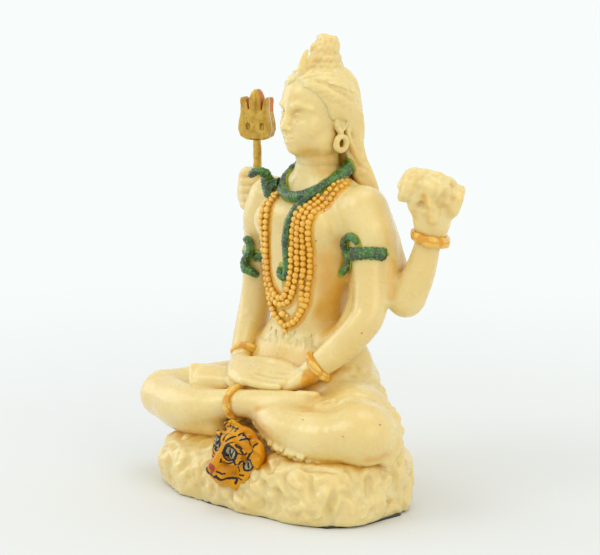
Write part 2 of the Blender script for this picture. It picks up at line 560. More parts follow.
rock = Clay((-41, -28, -15), (45, 24, 7), 0.44)
rock.f = rock_distance(rock).astype(np.float32)
grid = np.stack(np.meshgrid(*rock.axes, indexing="ij"), -1).reshape(-1, 3)
bumpy = (0.3 * lumps(grid, 11, 3) + 0.2 * lumps(grid, 5, 4) + 0.08 * lumps(grid, 2.6, 6)).reshape(rock.shape)
rock.f += (bumpy * ramp(grid[:, 2], -13.8, -11.5).reshape(rock.shape)).astype(np.float32)
print("rock grid", rock.shape)

# %% Dents all round, each a hook or a slanting stroke
HOOK = np.array([-1, -0.95, -0.5, 0.15, 0.7, 0.95]), np.array([0.9, 0.1, -0.7, -0.85, -0.45, 0.4])
STROKE = np.array([-0.3, -0.1, 0.05, 0.1, 0.2, 0.15]), np.array([1.1, 0.6, 0.1, -0.4, -0.8, -1.2])
chance = np.random.RandomState(12)
for k, degrees in enumerate(np.arange(0, 360, 7.5)):
    for row, height in enumerate((-3.2, -7.2, -10.9)):
        a = degrees + 3.75 * (row % 2) + 1.4 * chance.normal()
        wide, tall = 1.9 + 0.7 * chance.rand(), 1.9 + 0.9 * chance.rand()
        lean, turn = 0.5 * chance.normal(), 0.45 * chance.normal()
        per_mm = 180 / np.pi / np.linalg.norm(on_rock(a, height)[:2])
        u, v = HOOK if k % 3 else STROKE
        deep = (0.66 + 0.16 * np.sin(3 * k + row)) * (0.7 if 180 < degrees < 255 else 1.0)
        path = [[*on_face(a + per_mm * (wide * (p * np.cos(turn) - q * np.sin(turn)) + lean * q),
                          height + tall * (q * np.cos(turn) + p * np.sin(turn)), 0.16),
                 deep * (0.85 + 0.2 * np.sin(i + k))] for i, (p, q) in enumerate(zip(u, v))]
        rock.limb(path, soft=0.6, dig=True, count=13)
print("dents dug, deepest point", float(rock.f.min()))

# %% The larger folds in front and at the left
FOLDS = [[(10.9, -17.6, -0.9), (15.7, -19.1, -2.4), (16.2, -17.6, -0.4)], [(19.6, -19.6, -7.8), (18.0, -19.3, -11.1)],
         [(21.4, -18.4, -1.2), (20.8, -18.9, -5.0), (22.5, -18.9, -7.9)],
         [(28.6, -17.2, -2.0), (28.1, -17.4, -5.5), (28.4, -17.4, -8.8)], [(20.8, -19.4, -9.7), (25.1, -19.4, -8.6)],
         [(24.1, -18.3, -13.1), (26.2, -18.3, -10.8), (29.0, -18.0, -11.7), (30.6, -16.9, -10.9), (32.9, -15.2, -10.6)],
         [(34.4, -15.2, -4.5), (33.6, -14.9, -7.3), (33.0, -15.3, -9.5), (33.2, -14.3, -14.2)],
         [(26.3, -16.2, -0.6), (31.0, -14.0, -0.5), (33.4, -12.4, -0.8), (34.8, -12.4, -2.8)],
         [(34.8, -12.9, -5.6), (36.2, -10.4, -6.3)], [(37.6, 0.5, -9.3), (36.9, 2.9, -11.5)],
         [(38.2, 3.3, -1.5), (37.5, 4.5, -5.3), (37.2, 5.6, -8.3)],
         [(37.6, 8.9, -7.0), (37.9, 8.8, -11.4), (36.5, 9.4, -14.0)],
         [(13.7, -19.7, -6.0), (16.0, -19.8, -7.8), (18.5, -20.0, -7.3)], [(36.8, -4.6, -3.4), (37.0, -5.4, -7.2)],
         [(2.0, -19.8, -9.0), (3.2, -20.0, -12.4)], [(-16, -19.4, -4.4), (-17.2, -19.6, -8.6)],
         [(-29.4, -17.0, -4.0), (-30.2, -17.4, -8.0), (-28.8, -17.8, -10.8)],
         [(-23.4, -18.6, -5.0), (-22.4, -18.8, -9.6)]]
rock.egg((32.9, 9.9, -2.4), (4.8, 4.8, 4.8), soft=2.0)
for k, fold in enumerate(FOLDS):
    rock.limb([[*on_face(np.degrees(np.arctan2(y - 2.6, x + 2.4)), z + 0.5, 0.12), 0.8 + 0.24 * np.sin(2.1 * k + i)]
               for i, (x, y, z) in enumerate(fold)], soft=0.9, dig=True)
rock.crumple([[-38, 0, -8], [-34, -19, -8], [-18, -23, -8], [0, -24, -8], [20, -24, -8], [37, -18, -8], [41, 0, -8],
              [35, 15, -8], [18, 20, -8], [0, 21, -8], [-18, 20, -8], [-34, 15, -8], [-38, 0, -8]], 12.0, 4.2, 0.15,
             51, ridged=0.6)
print(len(FOLDS), "folds")

# %% [markdown]
# ## The head
# The face is a calm, ideal one of the kind in every pattern book: half closed eyes at half height, a straight
# nose, a small full mouth, long ears. To mirror its forms the head has to look straight ahead, so it is laid
# down in a frame of its own, x sideways and -y forward, and the finished skin is turned nine degrees to the
# figure's right.

# %% Laying down the head
HEAD_PLACE, HEAD_TURN = np.array([0, 13.4, 0]), turned((0, 0, -9))
head = Clay((-11.4, -12.6, 66.5), (11.4, 11, 101.5), 0.24)
head.limb([[0, 0.9, 73.4, 5.8], [0, 0.5, 76, 5.9], [0, 0.4, 81, 6.1]], soft=1.0)
head.egg((0, 0.2, 90.4), (8.0, 9.1, 9.4), soft=2.0)
head.egg((0, -2.2, 85.4), (6.9, 6.9, 8.4), soft=2.5)
head.egg((0, -3.5, 81.2), (5.4, 4.9, 4.2), soft=2.5)
head.egg((0, -3.0, 92.4), (6.8, 5.9, 5.6), soft=2.5)
head.egg((0, -7.3, 78.9), (2.0, 1.5, 1.5), soft=2.0)
for s in (-1, 1):
    head.egg((s * 4.3, -5.5, 84.6), (2.6, 2.4, 2.7), soft=2.2)
    head.egg((s * 5.8, -0.8, 80.6), (1.8, 3.4, 2.6), soft=2.2)
    head.egg((s * 3.3, -9.4, 88.0), (2.5, 1.6, 1.5), (0, s * -6, s * 16), soft=1.5, dig=True)
    head.egg((s * 3.35, -6.95, 87.8), (1.85, 1.5, 1.5), (0, 0, s * 16), soft=0.35)
    head.limb([[s * 1.2, -8.5, 89.7, 0.5], [s * 3.0, -8.9, 90.6, 0.62], [s * 5.0, -7.9, 90.5, 0.5],
               [s * 6.3, -6.3, 89.6, 0.3]], soft=1.2)
    head.limb([[s * 1.5, -8.0, 87.5, 0.2], [s * 2.6, -8.6, 88.25, 0.3], [s * 3.9, -8.35, 88.35, 0.3],
               [s * 5.3, -7.0, 87.5, 0.22]], soft=0.4)
    head.limb([[s * 1.6, -7.9, 87.3, 0.16], [s * 3.2, -8.3, 86.6, 0.22], [s * 5.1, -6.9, 87.1, 0.16]], soft=0.4)
head.limb([[0, -8.6, 90, 0.75], [0, -9.4, 87.8, 0.75], [0, -10.3, 85.6, 0.95], [0, -10.7, 84.7, 1.05]], soft=1.3)
for s in (-1, 1):
    head.egg((s * 1.2, -9.7, 84.4), (0.85, 1.0, 0.8), soft=0.6)
    head.egg((s * 0.62, -10.5, 83.6), (0.3, 0.45, 0.3), soft=0.3, dig=True)
head.egg((0, -7.9, 81.9), (2.7, 1.6, 2.0), soft=1.8)
head.limb([[-2.5, -8.2, 81.7, 0.22], [-1.1, -9.4, 82.2, 0.5], [0, -9.6, 82.0, 0.42], [1.1, -9.4, 82.2, 0.5],
           [2.5, -8.2, 81.7, 0.22]], soft=0.5)
head.limb([[-2.0, -8.4, 81.3, 0.25], [0, -9.3, 80.8, 0.62], [2.0, -8.4, 81.3, 0.25]], soft=0.5)
head.limb([[-2.6, -8.4, 81.7, 0.12], [-1.2, -9.8, 81.62, 0.15], [0, -10.1, 81.5, 0.15], [1.2, -9.8, 81.62, 0.15],
           [2.6, -8.4, 81.7, 0.12]], soft=0.4, dig=True)
head.limb([[0, -10.2, 83.4, 0.25], [0, -9.9, 82.5, 0.25]], soft=0.6, dig=True)
for s in (-1, 1):
    head.egg((s * 7.9, 2.2, 85.6), (0.9, 1.8, 3.0), (8, 0, 0), soft=0.8)
    head.limb([[s * 8.3, 1.4, 85.2, 0.5], [s * 8.7, 2.0, 83.6, 0.75], [s * 8.6, 1.9, 82.2, 0.85]], soft=0.5)
    head.egg((s * 9.1, 2.2, 85.9), (0.55, 0.8, 1.4), soft=0.6, dig=True)
    head.limb([[s * 8.4, 0.6, 85.0, 0.25], [s * 8.55, 0.8, 87.2, 0.3], [s * 8.8, 2.0, 88.3, 0.36],
               [s * 9.0, 3.4, 87.6, 0.36], [s * 9.0, 3.9, 85.8, 0.34], [s * 8.8, 3.2, 84.0, 0.3]], soft=0.6)
print("head grid", head.shape)


def face_point(sideways, forward, z):
    """A place on the head in figure millimetres, from its own frame."""
    return HEAD_PLACE + HEAD_TURN @ np.array([sideways, -forward, z])


# %% [markdown]
# ## The hair
# The hair is combed back from the brow in fine locks, bound up in three coils, and ends in a small cone; a
# thin crescent moon stands at its front. The rest falls down the back, and a lock lies over each shoulder.
# Separate strands would look like wire. So the fine ridges are a wave, in the angle about the topknot on the
# cap and in x down the back, the larger locks are limbs, and thin lines are dug between them at the end.

# %% The cap of hair and the fall down the back
hair = Clay((-16, 1.5, 50), (16, 31.5, 110.2), 0.315)
hair.turned_form([[83, 0, 20.6, 6.6, 5.2], [84, 0, 20.4, 7.4, 6], [90, 0, 17.4, 9.3, 9.4], [95.4, 0, 15.9, 9.1, 10.1],
                  [97.8, 0, 16.2, 7.7, 8.6], [99.8, 0, 16.6, 5.8, 6.4], [100.6, 0, 16.8, 3.8, 4.2]], 83, 100.4,
                 soft=1.0)
hair.egg(face_point(0, 9.6, 85.6), (8.9, 9.4, 10.2), (0, 0, -9), soft=0.9, dig=True)
hair.limb([[0, 19.6, 92, 7.4, 5], [0, 20.4, 88, 7.4, 5], [0, 21.8, 82, 7.4, 4.6], [0, 22.8, 75, 8.8, 4.4],
           [0, 24.0, 66, 11.6, 3.8], [0, 23.6, 57, 8.6, 2.9]], wide=(1, 0, 0), soft=2.0)
xs, ys, zs = (a.astype(np.float32) for a in np.meshgrid(*hair.axes, indexing="ij"))
cap_angle = np.arctan2(xs, ys - 16.6)
wave = np.sin(21 * cap_angle + 0.32 * (zs - 95) + 0.5 * np.sin(0.5 * zs))
on_cap = ramp(zs, 84, 89) * (1 - ramp(zs, 99, 101))
down = np.sin(2.7 * xs * (1 - 0.006 * (75 - zs)) + 0.9 * np.sin(0.28 * zs) + 0.4 * np.sin(0.9 * xs))
on_back = ramp(ys, 17, 21) * (1 - ramp(zs, 84, 90))
hair.f -= (0.3 * wave * on_cap + 0.26 * down * on_back).astype(np.float32)
print("hair grid", hair.shape)

# %% Locks over the brow, the ears and the shoulders
CAP = np.array([[84, 20.4, 7.4, 6], [87, 18.9, 8.5, 7.9], [90, 17.4, 9.3, 9.4], [92.6, 16.5, 9.5, 10],
                [95.4, 15.9, 9.1, 10.1], [97.8, 16.2, 7.7, 8.6], [99.8, 16.6, 5.8, 6.4], [101, 16.8, 3.8, 4.2]])


def on_cap_at(degrees, z, lift):
    """The point of the cap's skin at an angle from the brow round to the back, and at a height."""
    y, wide, deep = (np.interp(z, CAP[:, 0], CAP[:, k]) for k in (1, 2, 3))
    a = np.radians(degrees - 9)
    return [(wide + lift) * np.sin(a), y - (deep + lift) * np.cos(a), z]


def mirrored(place, side, rows):
    """Stations whose first three numbers place() turns into a point, the first one mirrored by side."""
    return [[*place(side * first, second, third), *size] for first, second, third, *size in rows]


for s in (-1, 1):
    for k in range(9):
        rise = 97.6 - 1.05 * k - 0.02 * k * k
        path = [[3 + 7.2 * k, rise - 0.7, -0.35, 0.45], [16 + 7.6 * k, rise + 0.2, 0.1, 0.75],
                [40 + 8 * k, rise + 0.9 - 0.1 * k, 0.15, 0.85], [72 + 8 * k, rise + 0.9 - 0.25 * k, 0.1, 0.85],
                [104 + 7 * k, rise - 0.2 - 0.4 * k, -0.1, 0.7]]
        hair.limb(mirrored(on_cap_at, s, path), soft=0.5)
    for k in range(3):
        hair.limb([[s * (7.0 + 0.8 * k), 17.4 + 1.2 * k, 85 + k, 1.1],
                   [s * (7.6 + 0.7 * k), 19.2 + 1.3 * k, 77, 1.35], [s * (9.2 + 0.9 * k), 21.2 + 1.2 * k, 69.6, 1.5],
                   [s * (11.4 + 0.6 * k), 22.8 + 0.9 * k, 63.6 + k, 0.9]], soft=0.7)
    hair.egg(face_point(s * 6.9, -3.2, 89.4), (2.3, 5.2, 4.0), soft=1.6)
    for k in range(7):
        back = 1.35 * k
        path = [[6.5 + 0.25 * k, 4.2 - back, 93.4 + 0.3 * k, 0.3], [7.7 + 0.12 * k, 2.2 - back, 91.4, 0.66],
                [8.3 + 0.04 * k, -0.2 - back, 89.6 - 0.15 * k, 0.72],
                [8.7 - 0.14 * k, -2.8 - 0.85 * back, 87.8 - 0.45 * k, 0.72],
                [8.4 - 0.28 * k, -5.0 - 0.7 * back, 85.6 - 0.8 * k, 0.66],
                [7.6 - 0.3 * k, -6.6 - 0.5 * back, 83.0 - 1.1 * k, 0.4]]
        hair.limb(mirrored(face_point, s, path), soft=0.7)
    hair.limb(mirrored(on_cap_at, s, [[46, 94.8, -0.9, 0.9], [70, 93.2, -0.9, 1.25], [90, 91.5, -0.9, 1.35],
                                      [114, 89.4, -0.9, 1.2], [130, 87.6, -0.9, 0.9]]), soft=1.6)
    hair.limb(mirrored(face_point, s, [[8.2, -4.6, 86.4, 0.7], [8.3, -4.6, 83.6, 0.8], [8.4, -5.2, 80.6, 0.8],
                                       [8.2, -7.0, 77.6, 0.75], [8.8, -8.4, 74.6, 0.4]]), soft=0.8)
print("locks laid, deepest point", float(hair.f.min()))

# %% The topknot with its crescent
hair.turned_form([[97.6, 0, 16.8, 4.7, 4.7], [98.4, 0, 16.8, 5.3, 5.3], [99.2, 0, 16.8, 5.3, 5.3],
                  [99.8, 0, 16.9, 4.6, 4.6], [100.5, 0, 16.9, 5.0, 5.0], [101.3, 0, 16.9, 4.9, 4.9],
                  [101.8, 0, 17, 4.25, 4.25], [102.5, 0, 17, 4.5, 4.5], [103.3, 0, 17, 4.4, 4.4],
                  [103.8, 0, 17, 3.8, 3.8], [105.6, 0.2, 17.1, 3.8, 3.7], [106.8, 0.3, 17.3, 3.3, 3.2],
                  [107.8, 0.4, 17.5, 2.9, 2.8], [108.6, 0.4, 17.5, 2.2, 2.2]], 97.6, 108.5, soft=0.8)
hair.f -= (0.11 * np.sin(15 * np.arctan2(xs, ys - 17) + 2.6 * zs) * ramp(zs, 98.1, 99.1)).astype(np.float32)
hair.limb([[-2.2, 14.6, 104.4, 1.0], [-1.4, 14.2, 105.8, 1.0], [1.0, 14.9, 106.5, 0.8], [2.6, 17.4, 106.2, 0.7]],
          soft=0.5)
hair.limb([[-2.4, 17.2, 108.0, 0.8], [0.6, 16.0, 108.6, 0.8], [2.6, 17.8, 107.8, 0.7]], soft=0.6)
hair.limb([[-1.9, 9.8, 96.6, 1.6, 1.0], [-1.4, 9.2, 99.4, 1.4, 1.0], [-0.8, 9.2, 101.8, 1.1, 0.85],
           [-0.2, 9.6, 104.0, 0.8, 0.7], [0.0, 10.0, 104.9, 0.5, 0.5]], wide=(1, 0, 0), soft=0.8)
hair.limb([[-1.2, 10.4, 98.6, 1.3], [-0.8, 11.2, 101.2, 1.2], [-0.4, 12.4, 103.0, 0.8]], soft=1.2)
hair.egg((-2.2, 6.6, 96.9), (1.4, 1.2, 1.1), soft=0.8)
print("topknot laid")


# %% Thin lines dug between the strands
def on_hair(degrees, z, lift):
    """The same on the hair as it is laid: the farthest place from the cap's axis where the field is below lift."""
    middle = np.array([0, np.interp(z, CAP[:, 0], CAP[:, 1]), z])
    way = np.array(on_cap_at(degrees, z, 1)) - on_cap_at(degrees, z, 0)
    tries = middle + np.linspace(5, 14, 181)[:, None] * unit(way * [1, 1, 0])
    return tries[np.nonzero(hair.at(tries) < lift)[0][-1]]


STRAND_LINES = 9  # on each side
for s in (-1, 1):
    for k in range(STRAND_LINES):
        spots = [(30 + 9.0 * k, 98.0 - 0.5 * k, 0.18), (50 + 8.4 * k, 96.8 - 0.5 * k, 0.28),
                 (76 + 7.0 * k, 94.6 - 0.7 * k, 0.28), (98 + 5.4 * k, 91.6 - 0.7 * k, 0.18)]
        hair.limb([[*on_hair(s * a, z, 0.08), size] for a, z, size in spots], soft=0.5, dig=True, count=24)
hair.crumple([[0, 8, 97], [8, 12, 95], [9, 18, 92], [9.6, 20, 84], [10, 22, 74], [0, 27, 70], [-10, 22, 74],
              [-9.6, 20, 84], [-9, 18, 92], [-8, 12, 95], [0, 8, 97]], 5.5, 2.4, 0.12, 61, ridged=0.6)
hair.crumple([[0, 17, 99], [0, 17, 108]], 7.0, 2.2, 0.16, 62, ridged=0.6)
print(2 * STRAND_LINES, "lines dug between the strands")

# %% [markdown]
# ## The hands
# The two lap hands rest one on the other, palms up, with the thumb tips almost touching. The raised right hand
# is a fist round the trident, and the raised left hand holds a small drum shaped like an hourglass. In the
# casting all of them are soft: the fingers are shallow ridges, so each is a limb laid on a palm. The hands get
# finer grids than the body, because a finger is only two millimetres thick.


# %% The hands in the lap
def row_of_fingers(clay, path, spread, pitch, radius):
    """Four fingers side by side: the same line, shifted by whole steps of pitch along spread."""
    spread = unit(spread)
    for k in range(4):
        shift = spread * (k - 1.5) * pitch
        shorter = 1 - 0.05 * abs(k - 1.4)
        rows = np.array(path, float)
        rows[1:] = rows[0] + (rows[1:] - rows[0]) * shorter
        clay.limb([[*(row + shift), radius * (1 - 0.06 * i)] for i, row in enumerate(rows)], soft=0.6)


lap = Clay((-18, -14, 11), (18, 4, 25.5), 0.25)
lap.limb([[12.6, -2.0, 20, 3.0, 2.9], [7.8, -4.6, 17.2, 4.6, 2.3], [0, -5.8, 16.0, 4.8, 2.2],
          [-6, -6.2, 15.7, 4.4, 2.0]], wide=(0.1, -0.9, -0.4), soft=1.0)
row_of_fingers(lap, [(-5.5, -6.4, 15.6), (-9.5, -6.8, 15.9), (-12.2, -6.6, 16.6)], (0.1, -0.9, -0.3), 2.05, 1.25)
lap.limb([[-13.2, -2.4, 19.6, 3.0, 2.9], [-8.8, -6.2, 18.6, 4.4, 2.3], [-2.6, -8.0, 18.0, 4.6, 2.0]],
         wide=(0.1, -0.9, -0.4), soft=1.2)
row_of_fingers(lap, [(-3.6, -7.8, 18.3), (2.6, -7.8, 18.0), (7.4, -7.2, 18.1), (9.4, -6.7, 18.3)], (0.1, -0.9, -0.4),
               2.1, 1.22)
lap.limb([[-8.8, -4.2, 20, 1.7], [-5.6, -3.4, 20.9, 1.5], [-2.2, -3.1, 21.3, 1.25], [1.2, -3.4, 21.6, 1.15]], soft=1.0)
lap.limb([[9.2, -3.2, 19.6, 1.7], [6.4, -2.8, 20.8, 1.4], [3.0, -3.0, 21.5, 1.2]], soft=1.0)
lap.egg((0.5, -3.4, 19.2), (7.5, 3.4, 2.2), soft=1.5)
print("lap grid", lap.shape)

# %% The fist on the trident
GRIP = np.array([-27.2, 17.4, 64.3])
fist = Clay((-37, 8, 52), (-18, 26.5, 76), 0.25)
fist.limb([[-29.8, 20.0, 55.8, 3.0], [-30.4, 19.8, 58.6, 3.0], [-30.2, 18.6, 62, 3.6]], soft=1.0)
fist.egg(GRIP + [-3.0, 0.9, -0.6], (4.2, 4.5, 6.2), soft=1.6)
for k in range(4):
    turn = np.radians([-75, -40, 0, 45, 100, 150])
    z = GRIP[2] + 3.5 - 2.3 * k
    fist.limb([[GRIP[0] - 1.2 + (3.3 - 0.12 * k) * np.cos(a), GRIP[1] - 0.2 + (3.3 - 0.12 * k) * np.sin(a),
                z - 0.25 * i, 1.22] for i, a in enumerate(-turn)], soft=0.55)
fist.limb([[*(GRIP + [-3.4, -2.2, 3.6]), 1.5], [*(GRIP + [-0.6, -3.6, 5.4]), 1.35],
           [*(GRIP + [2.4, -2.0, 5.4]), 1.2]], soft=0.7)
print("fist grid", fist.shape)

# %% The hand with the drum
DRUM, DRUM_WAY = np.array([37.0, 19.0, 68.8]), unit((0.67, 0.67, -0.3))
hold = Clay((24.5, 6.5, 51.5), (50, 32, 82), 0.27)
part, x, y, z = hold.window((24.5, 6.5, 51.5), (50, 32, 82), 0)
along = (x - DRUM[0]) * DRUM_WAY[0] + (y - DRUM[1]) * DRUM_WAY[1] + (z - DRUM[2]) * DRUM_WAY[2]
off = np.sqrt(np.maximum((x - DRUM[0]) ** 2 + (y - DRUM[1]) ** 2 + (z - DRUM[2]) ** 2 - along ** 2, 0))
rim = np.interp(along / 8.2, [-1, -0.93, -0.74, -0.58, 0, 0.58, 0.74, 0.93, 1],
                [3.7, 4.45, 4.45, 3.6, 2.3, 3.6, 4.45, 4.45, 3.7])
hold.lay(part, np.maximum((off - rim) * 0.85, np.abs(along) - 8.2).astype(np.float32), 0.9)
hold.limb([[36, 19.8, 55.6, 3.1, 3.1], [36.4, 19.8, 58, 4.0, 3.3], [36.8, 19.6, 61.8, 5.1, 3.5],
           [37, 19.4, 66, 5.0, 3.5], [37.2, 19.8, 68.6, 4.4, 2.6]], wide=(1, 1, 0), soft=1.2)
for k in range(4):
    c = DRUM + DRUM_WAY * (k - 1.5) * 2.5
    low = 0.4 * abs(k - 1.7)
    hold.limb([[*(c + [0.9, 3.4, 0.6]), 1.3], [*(c + [0.7, 1.6, 4.4 - low]), 1.25],
               [*(c + [-0.5, -1.6, 5.1 - low]), 1.25], [*(c + [-1.5, -4.0, 2.8 - low]), 1.15],
               [*(c + [-1.6, -4.6, 0.6]), 1.0]], soft=0.2)
hold.egg(DRUM + [0.4, -0.4, 1.6], (4.9, 4.9, 3.2), soft=1.0)
hold.limb([[*(DRUM + [-1.6, -1.6, -6.2]), 1.8], [*(DRUM + [-2.8, -3.8, -3.2]), 1.6],
           [*(DRUM + [-1.6, -4.8, -0.8]), 1.35]], soft=0.7)
hold.limb([[*(DRUM + [2.6, -2.2, -6.0]), 1.6], [*(DRUM + [2.2, -3.0, -2.6]), 1.7],
           [*(DRUM + [1.6, -3.4, -0.6]), 1.2]], soft=1.2)
hold.limb([[38.6, 13.7, 68.2, 0.3], [39.2, 13.4, 66.4, 0.5], [39.4, 13.6, 64.6, 0.5], [39.0, 14.0, 62.8, 0.3]],
          soft=1.4, dig=True)
hold.crumple([[33, 14, 72], [38, 15, 73], [43, 20, 70], [38, 14, 66]], 5.0, 2.8, 0.22, 31, ridged=0.4)
print("hold grid", hold.shape)

# %% [markdown]
# ## The tiger's head
# The skin the figure sits on ends in the head of a small tiger below the crossed feet. It looks forward, its
# nose a little down and its left side lower. Its outline is ragged, so the fur is modelled too, as locks along
# the sides. Like the face it has a frame of its own, so that its forms can be mirrored.

# %% Laying down the tiger
TIGER_PLACE, TIGER_TURN = np.array([4.6, -20.8, 0.0]), turned((6, 19, -4))
tiger = Clay((-10.5, -11.5, -11), (10.5, 7.5, 10.5), 0.21)
tiger.egg((0, 1.2, 0.6), (6.6, 5.4, 6.8), soft=2.0)
tiger.egg((0, -4.6, -4.0), (3.4, 3.2, 3.2), soft=2.0)
tiger.egg((0, -3.2, -6.4), (3.1, 2.9, 2.2), soft=1.2)
tiger.limb([[0, -3.4, 5.4, 2.0, 1.5], [0, -5.2, 1.6, 1.5, 1.3], [0, -7.4, -1.4, 1.3, 1.1]], wide=(1, 0, 0), soft=1.4)
tiger.egg((0, -8.0, -1.9), (1.35, 0.8, 0.85), soft=0.5)
for s in (-1, 1):
    tiger.egg((s * 1.6, -6.6, -4.1), (1.8, 1.6, 1.5), soft=0.8)
    tiger.egg((s * 3.6, -5.0, 3.0), (2.1, 1.1, 2.0), (0, s * -14, s * 20), soft=0.8, dig=True)
    tiger.egg((s * 3.5, -3.7, 3.0), (1.9, 1.2, 1.8), (0, s * -14, s * 20), soft=0.4)
    tiger.limb([[s * 1.3, -4.8, 5.0, 0.7], [s * 3.4, -4.2, 5.6, 0.8], [s * 5.6, -2.6, 4.4, 0.7]], soft=0.9)
    tiger.limb([[s * 1.6, -5.4, 1.0, 0.5], [s * 3.6, -4.9, 0.6, 0.6], [s * 5.8, -3.0, 1.6, 0.5]], soft=0.9)
    tiger.egg((s * 5.4, 1.8, 5.2), (1.7, 1.3, 1.6), (0, s * 30, 0), soft=1.4)
    for k in range(4):
        tuft(tiger, (s * (1.4 + 1.5 * k), 0.6, 7.2 - 0.25 * k * k), (s * (0.3 + 0.3 * k), -0.3, 1), 1.5, 0.7,
             (0.2, 0, 0))
    tiger.egg((s * 5.6, -0.6, -3.2), (2.6, 2.6, 3.6), soft=1.4)
    for k in range(6):
        z = 2.8 - 2.1 * k
        tuft(tiger, (s * (6.6 - 0.12 * k * k), -0.6 + 0.3 * k, z), (s * 1.0, 0.1, -0.5 - 0.22 * k), 2.3, 0.85,
             (0, 0, -0.5))
for s in (-1, 1):
    tiger.limb([[0, -7.9, -4.4, 0.25], [s * 1.6, -7.5, -5.7, 0.28], [s * 3.3, -5.6, -5.6, 0.3],
                [s * 4.2, -4.2, -6.8, 0.28]], soft=0.5, dig=True)
tiger.limb([[0, -8.6, -3.1, 0.2], [0, -8.2, -4.5, 0.22]], soft=0.4, dig=True)
for s in (-1, 1):
    tiger.egg((s * 3.9, -2.6, -5.8), (2.5, 2.4, 2.0), soft=1.2)
tiger.egg((6.6, 1.4, 1.2), (2.2, 2.4, 4.6), soft=1.6)
for k in range(6):
    tuft(tiger, (7.4 - 0.1 * k, 0.4, 5.2 - 1.9 * k), (1, -0.2, 0.3 - 0.16 * k), 1.7, 0.8, (0, 0, -0.4))
tiger.crumple([[-6, 0, 5], [0, 0, 7.5], [6, 0, 5], [6.5, 0, -4], [0, -3, -8], [-6.5, 0, -4], [-6, 0, 5]], 3.2, 2.0,
              0.2, 41, ridged=0.5)
print("tiger grid", tiger.shape)

# %% [markdown]
# ## The trident
# The trident is the one metal piece: a thick cast plate on a round rod. An extruded curve would do, but soft
# edges and dimples come easier in clay. The plate's distance is worked out from its flat outline's own: how far
# a point is from the nearest side of a polygon, negative inside. Dimples and a ridge are added as clay.

# %% The trident's plate and rod
HALF = np.array([[0.75, 0.0], [2.6, 0.05], [4.5, 1.0], [5.2, 3.0], [5.0, 5.2], [4.45, 7.6], [4.4, 9.6], [4.55, 11.0],
                 [4.4, 11.9], [3.6, 12.1], [2.75, 11.5], [2.3, 10.2], [2.1, 9.0], [1.95, 8.2], [1.8, 9.0], [1.95, 10.4],
                 [1.75, 12.0], [1.1, 13.4], [0.35, 14.2]])
OUTLINE = np.concatenate([HALF, (HALF * [-1, 1])[::-1]])
trident = Clay((-6.2, -3.2, -1.4), (6.2, 3.2, 15.4), 0.19)
x, z = np.meshgrid(trident.axes[0], trident.axes[2], indexing="ij")
flat, inside = np.full(x.shape, 9.0), np.zeros(x.shape, bool)
for a, b in zip(OUTLINE, np.roll(OUTLINE, -1, 0)):
    run = b - a
    t = np.clip(((x - a[0]) * run[0] + (z - a[1]) * run[1]) / (run @ run), 0, 1)
    flat = np.minimum(flat, np.hypot(x - a[0] - t * run[0], z - a[1] - t * run[1]))
    crosses = ((a[1] <= z) != (b[1] <= z)) & (x < a[0] + (z - a[1]) / (run[1] if run[1] else 1) * run[0])
    inside ^= crosses
flat = np.where(inside, -flat, flat)[:, None, :]
HALF_THICK, ROUND = 1.75, 0.35  # mm: half the plate's thickness, and the radius of its edges
edge = np.abs(trident.axes[1])[None, :, None] - HALF_THICK + 0 * flat
corner = np.hypot(np.maximum(flat + ROUND, 0), np.maximum(edge + ROUND, 0))
rounded = np.minimum(np.maximum(flat, edge) + ROUND, 0) + corner - ROUND
trident.f = rounded.astype(np.float32)
for face in (-1, 1):
    trident.limb([[0, face * 1.7, 7.4, 0.35], [0, face * 1.75, 10.2, 0.55], [0, face * 1.7, 13.2, 0.35]], soft=0.5)
    for s in (-1, 1):
        trident.egg((s * 2.1, face * 2.0, 3.8), (0.62, 1.0, 1.12), (0, s * 8, 0), soft=0.3, dig=True)
        trident.limb([[s * 3.4, face * 2.0, 7.2, 0.28], [s * 3.35, face * 2.0, 9.4, 0.4],
                      [s * 3.5, face * 2.0, 10.6, 0.25]], soft=0.5, dig=True)
TRIDENT_PLACE, TRIDENT_TURN = GRIP + [0, 0, 14.2], turned((0, 0, 24))
print("trident grid", trident.shape)

# %% [markdown]
# ## How full the space is round each point
# Resin looks most amber where it is deepest in a crease, and paint runs there too. An ambient occlusion node
# measures creases slowly and with noise. Here the space is split into cells that are 1 inside the figure and 0
# outside, and blurred: on a flat face the blurred number is about a half, in a groove more, on an edge less.

# %% The blurred space
BLOCKS = [torso, legs, rock, hair, lap, fist, hold]
full = Clay((-47, -33, -16), (51, 33, 112), 0.6)
full.f = np.zeros(full.shape, np.float32)


def add_block(block, place=None, turn=None):
    """Fills the cells whose middles lie inside a block: 0.5 - distance / step, kept between 0 and 1."""
    corners = np.stack(np.meshgrid(*[(a[0], a[-1]) for a in block.axes], indexing="ij"), -1).reshape(-1, 3)
    if turn is not None:
        corners = corners @ turn.T + place
    part, *_ = full.window(corners.min(0), corners.max(0), 0)
    cells = np.stack(np.meshgrid(*[full.axes[k][part[k]] for k in range(3)], indexing="ij"), -1).reshape(-1, 3)
    local = cells if turn is None else (cells - place) @ turn
    within = ((local > block.low) & (local < [a[-1] for a in block.axes])).all(1)
    value = np.zeros(len(cells), np.float32)
    value[within] = np.clip(0.5 - block.at(local[within]) / full.step, 0, 1)
    full.f[part] = np.maximum(full.f[part], value.reshape(full.f[part].shape))


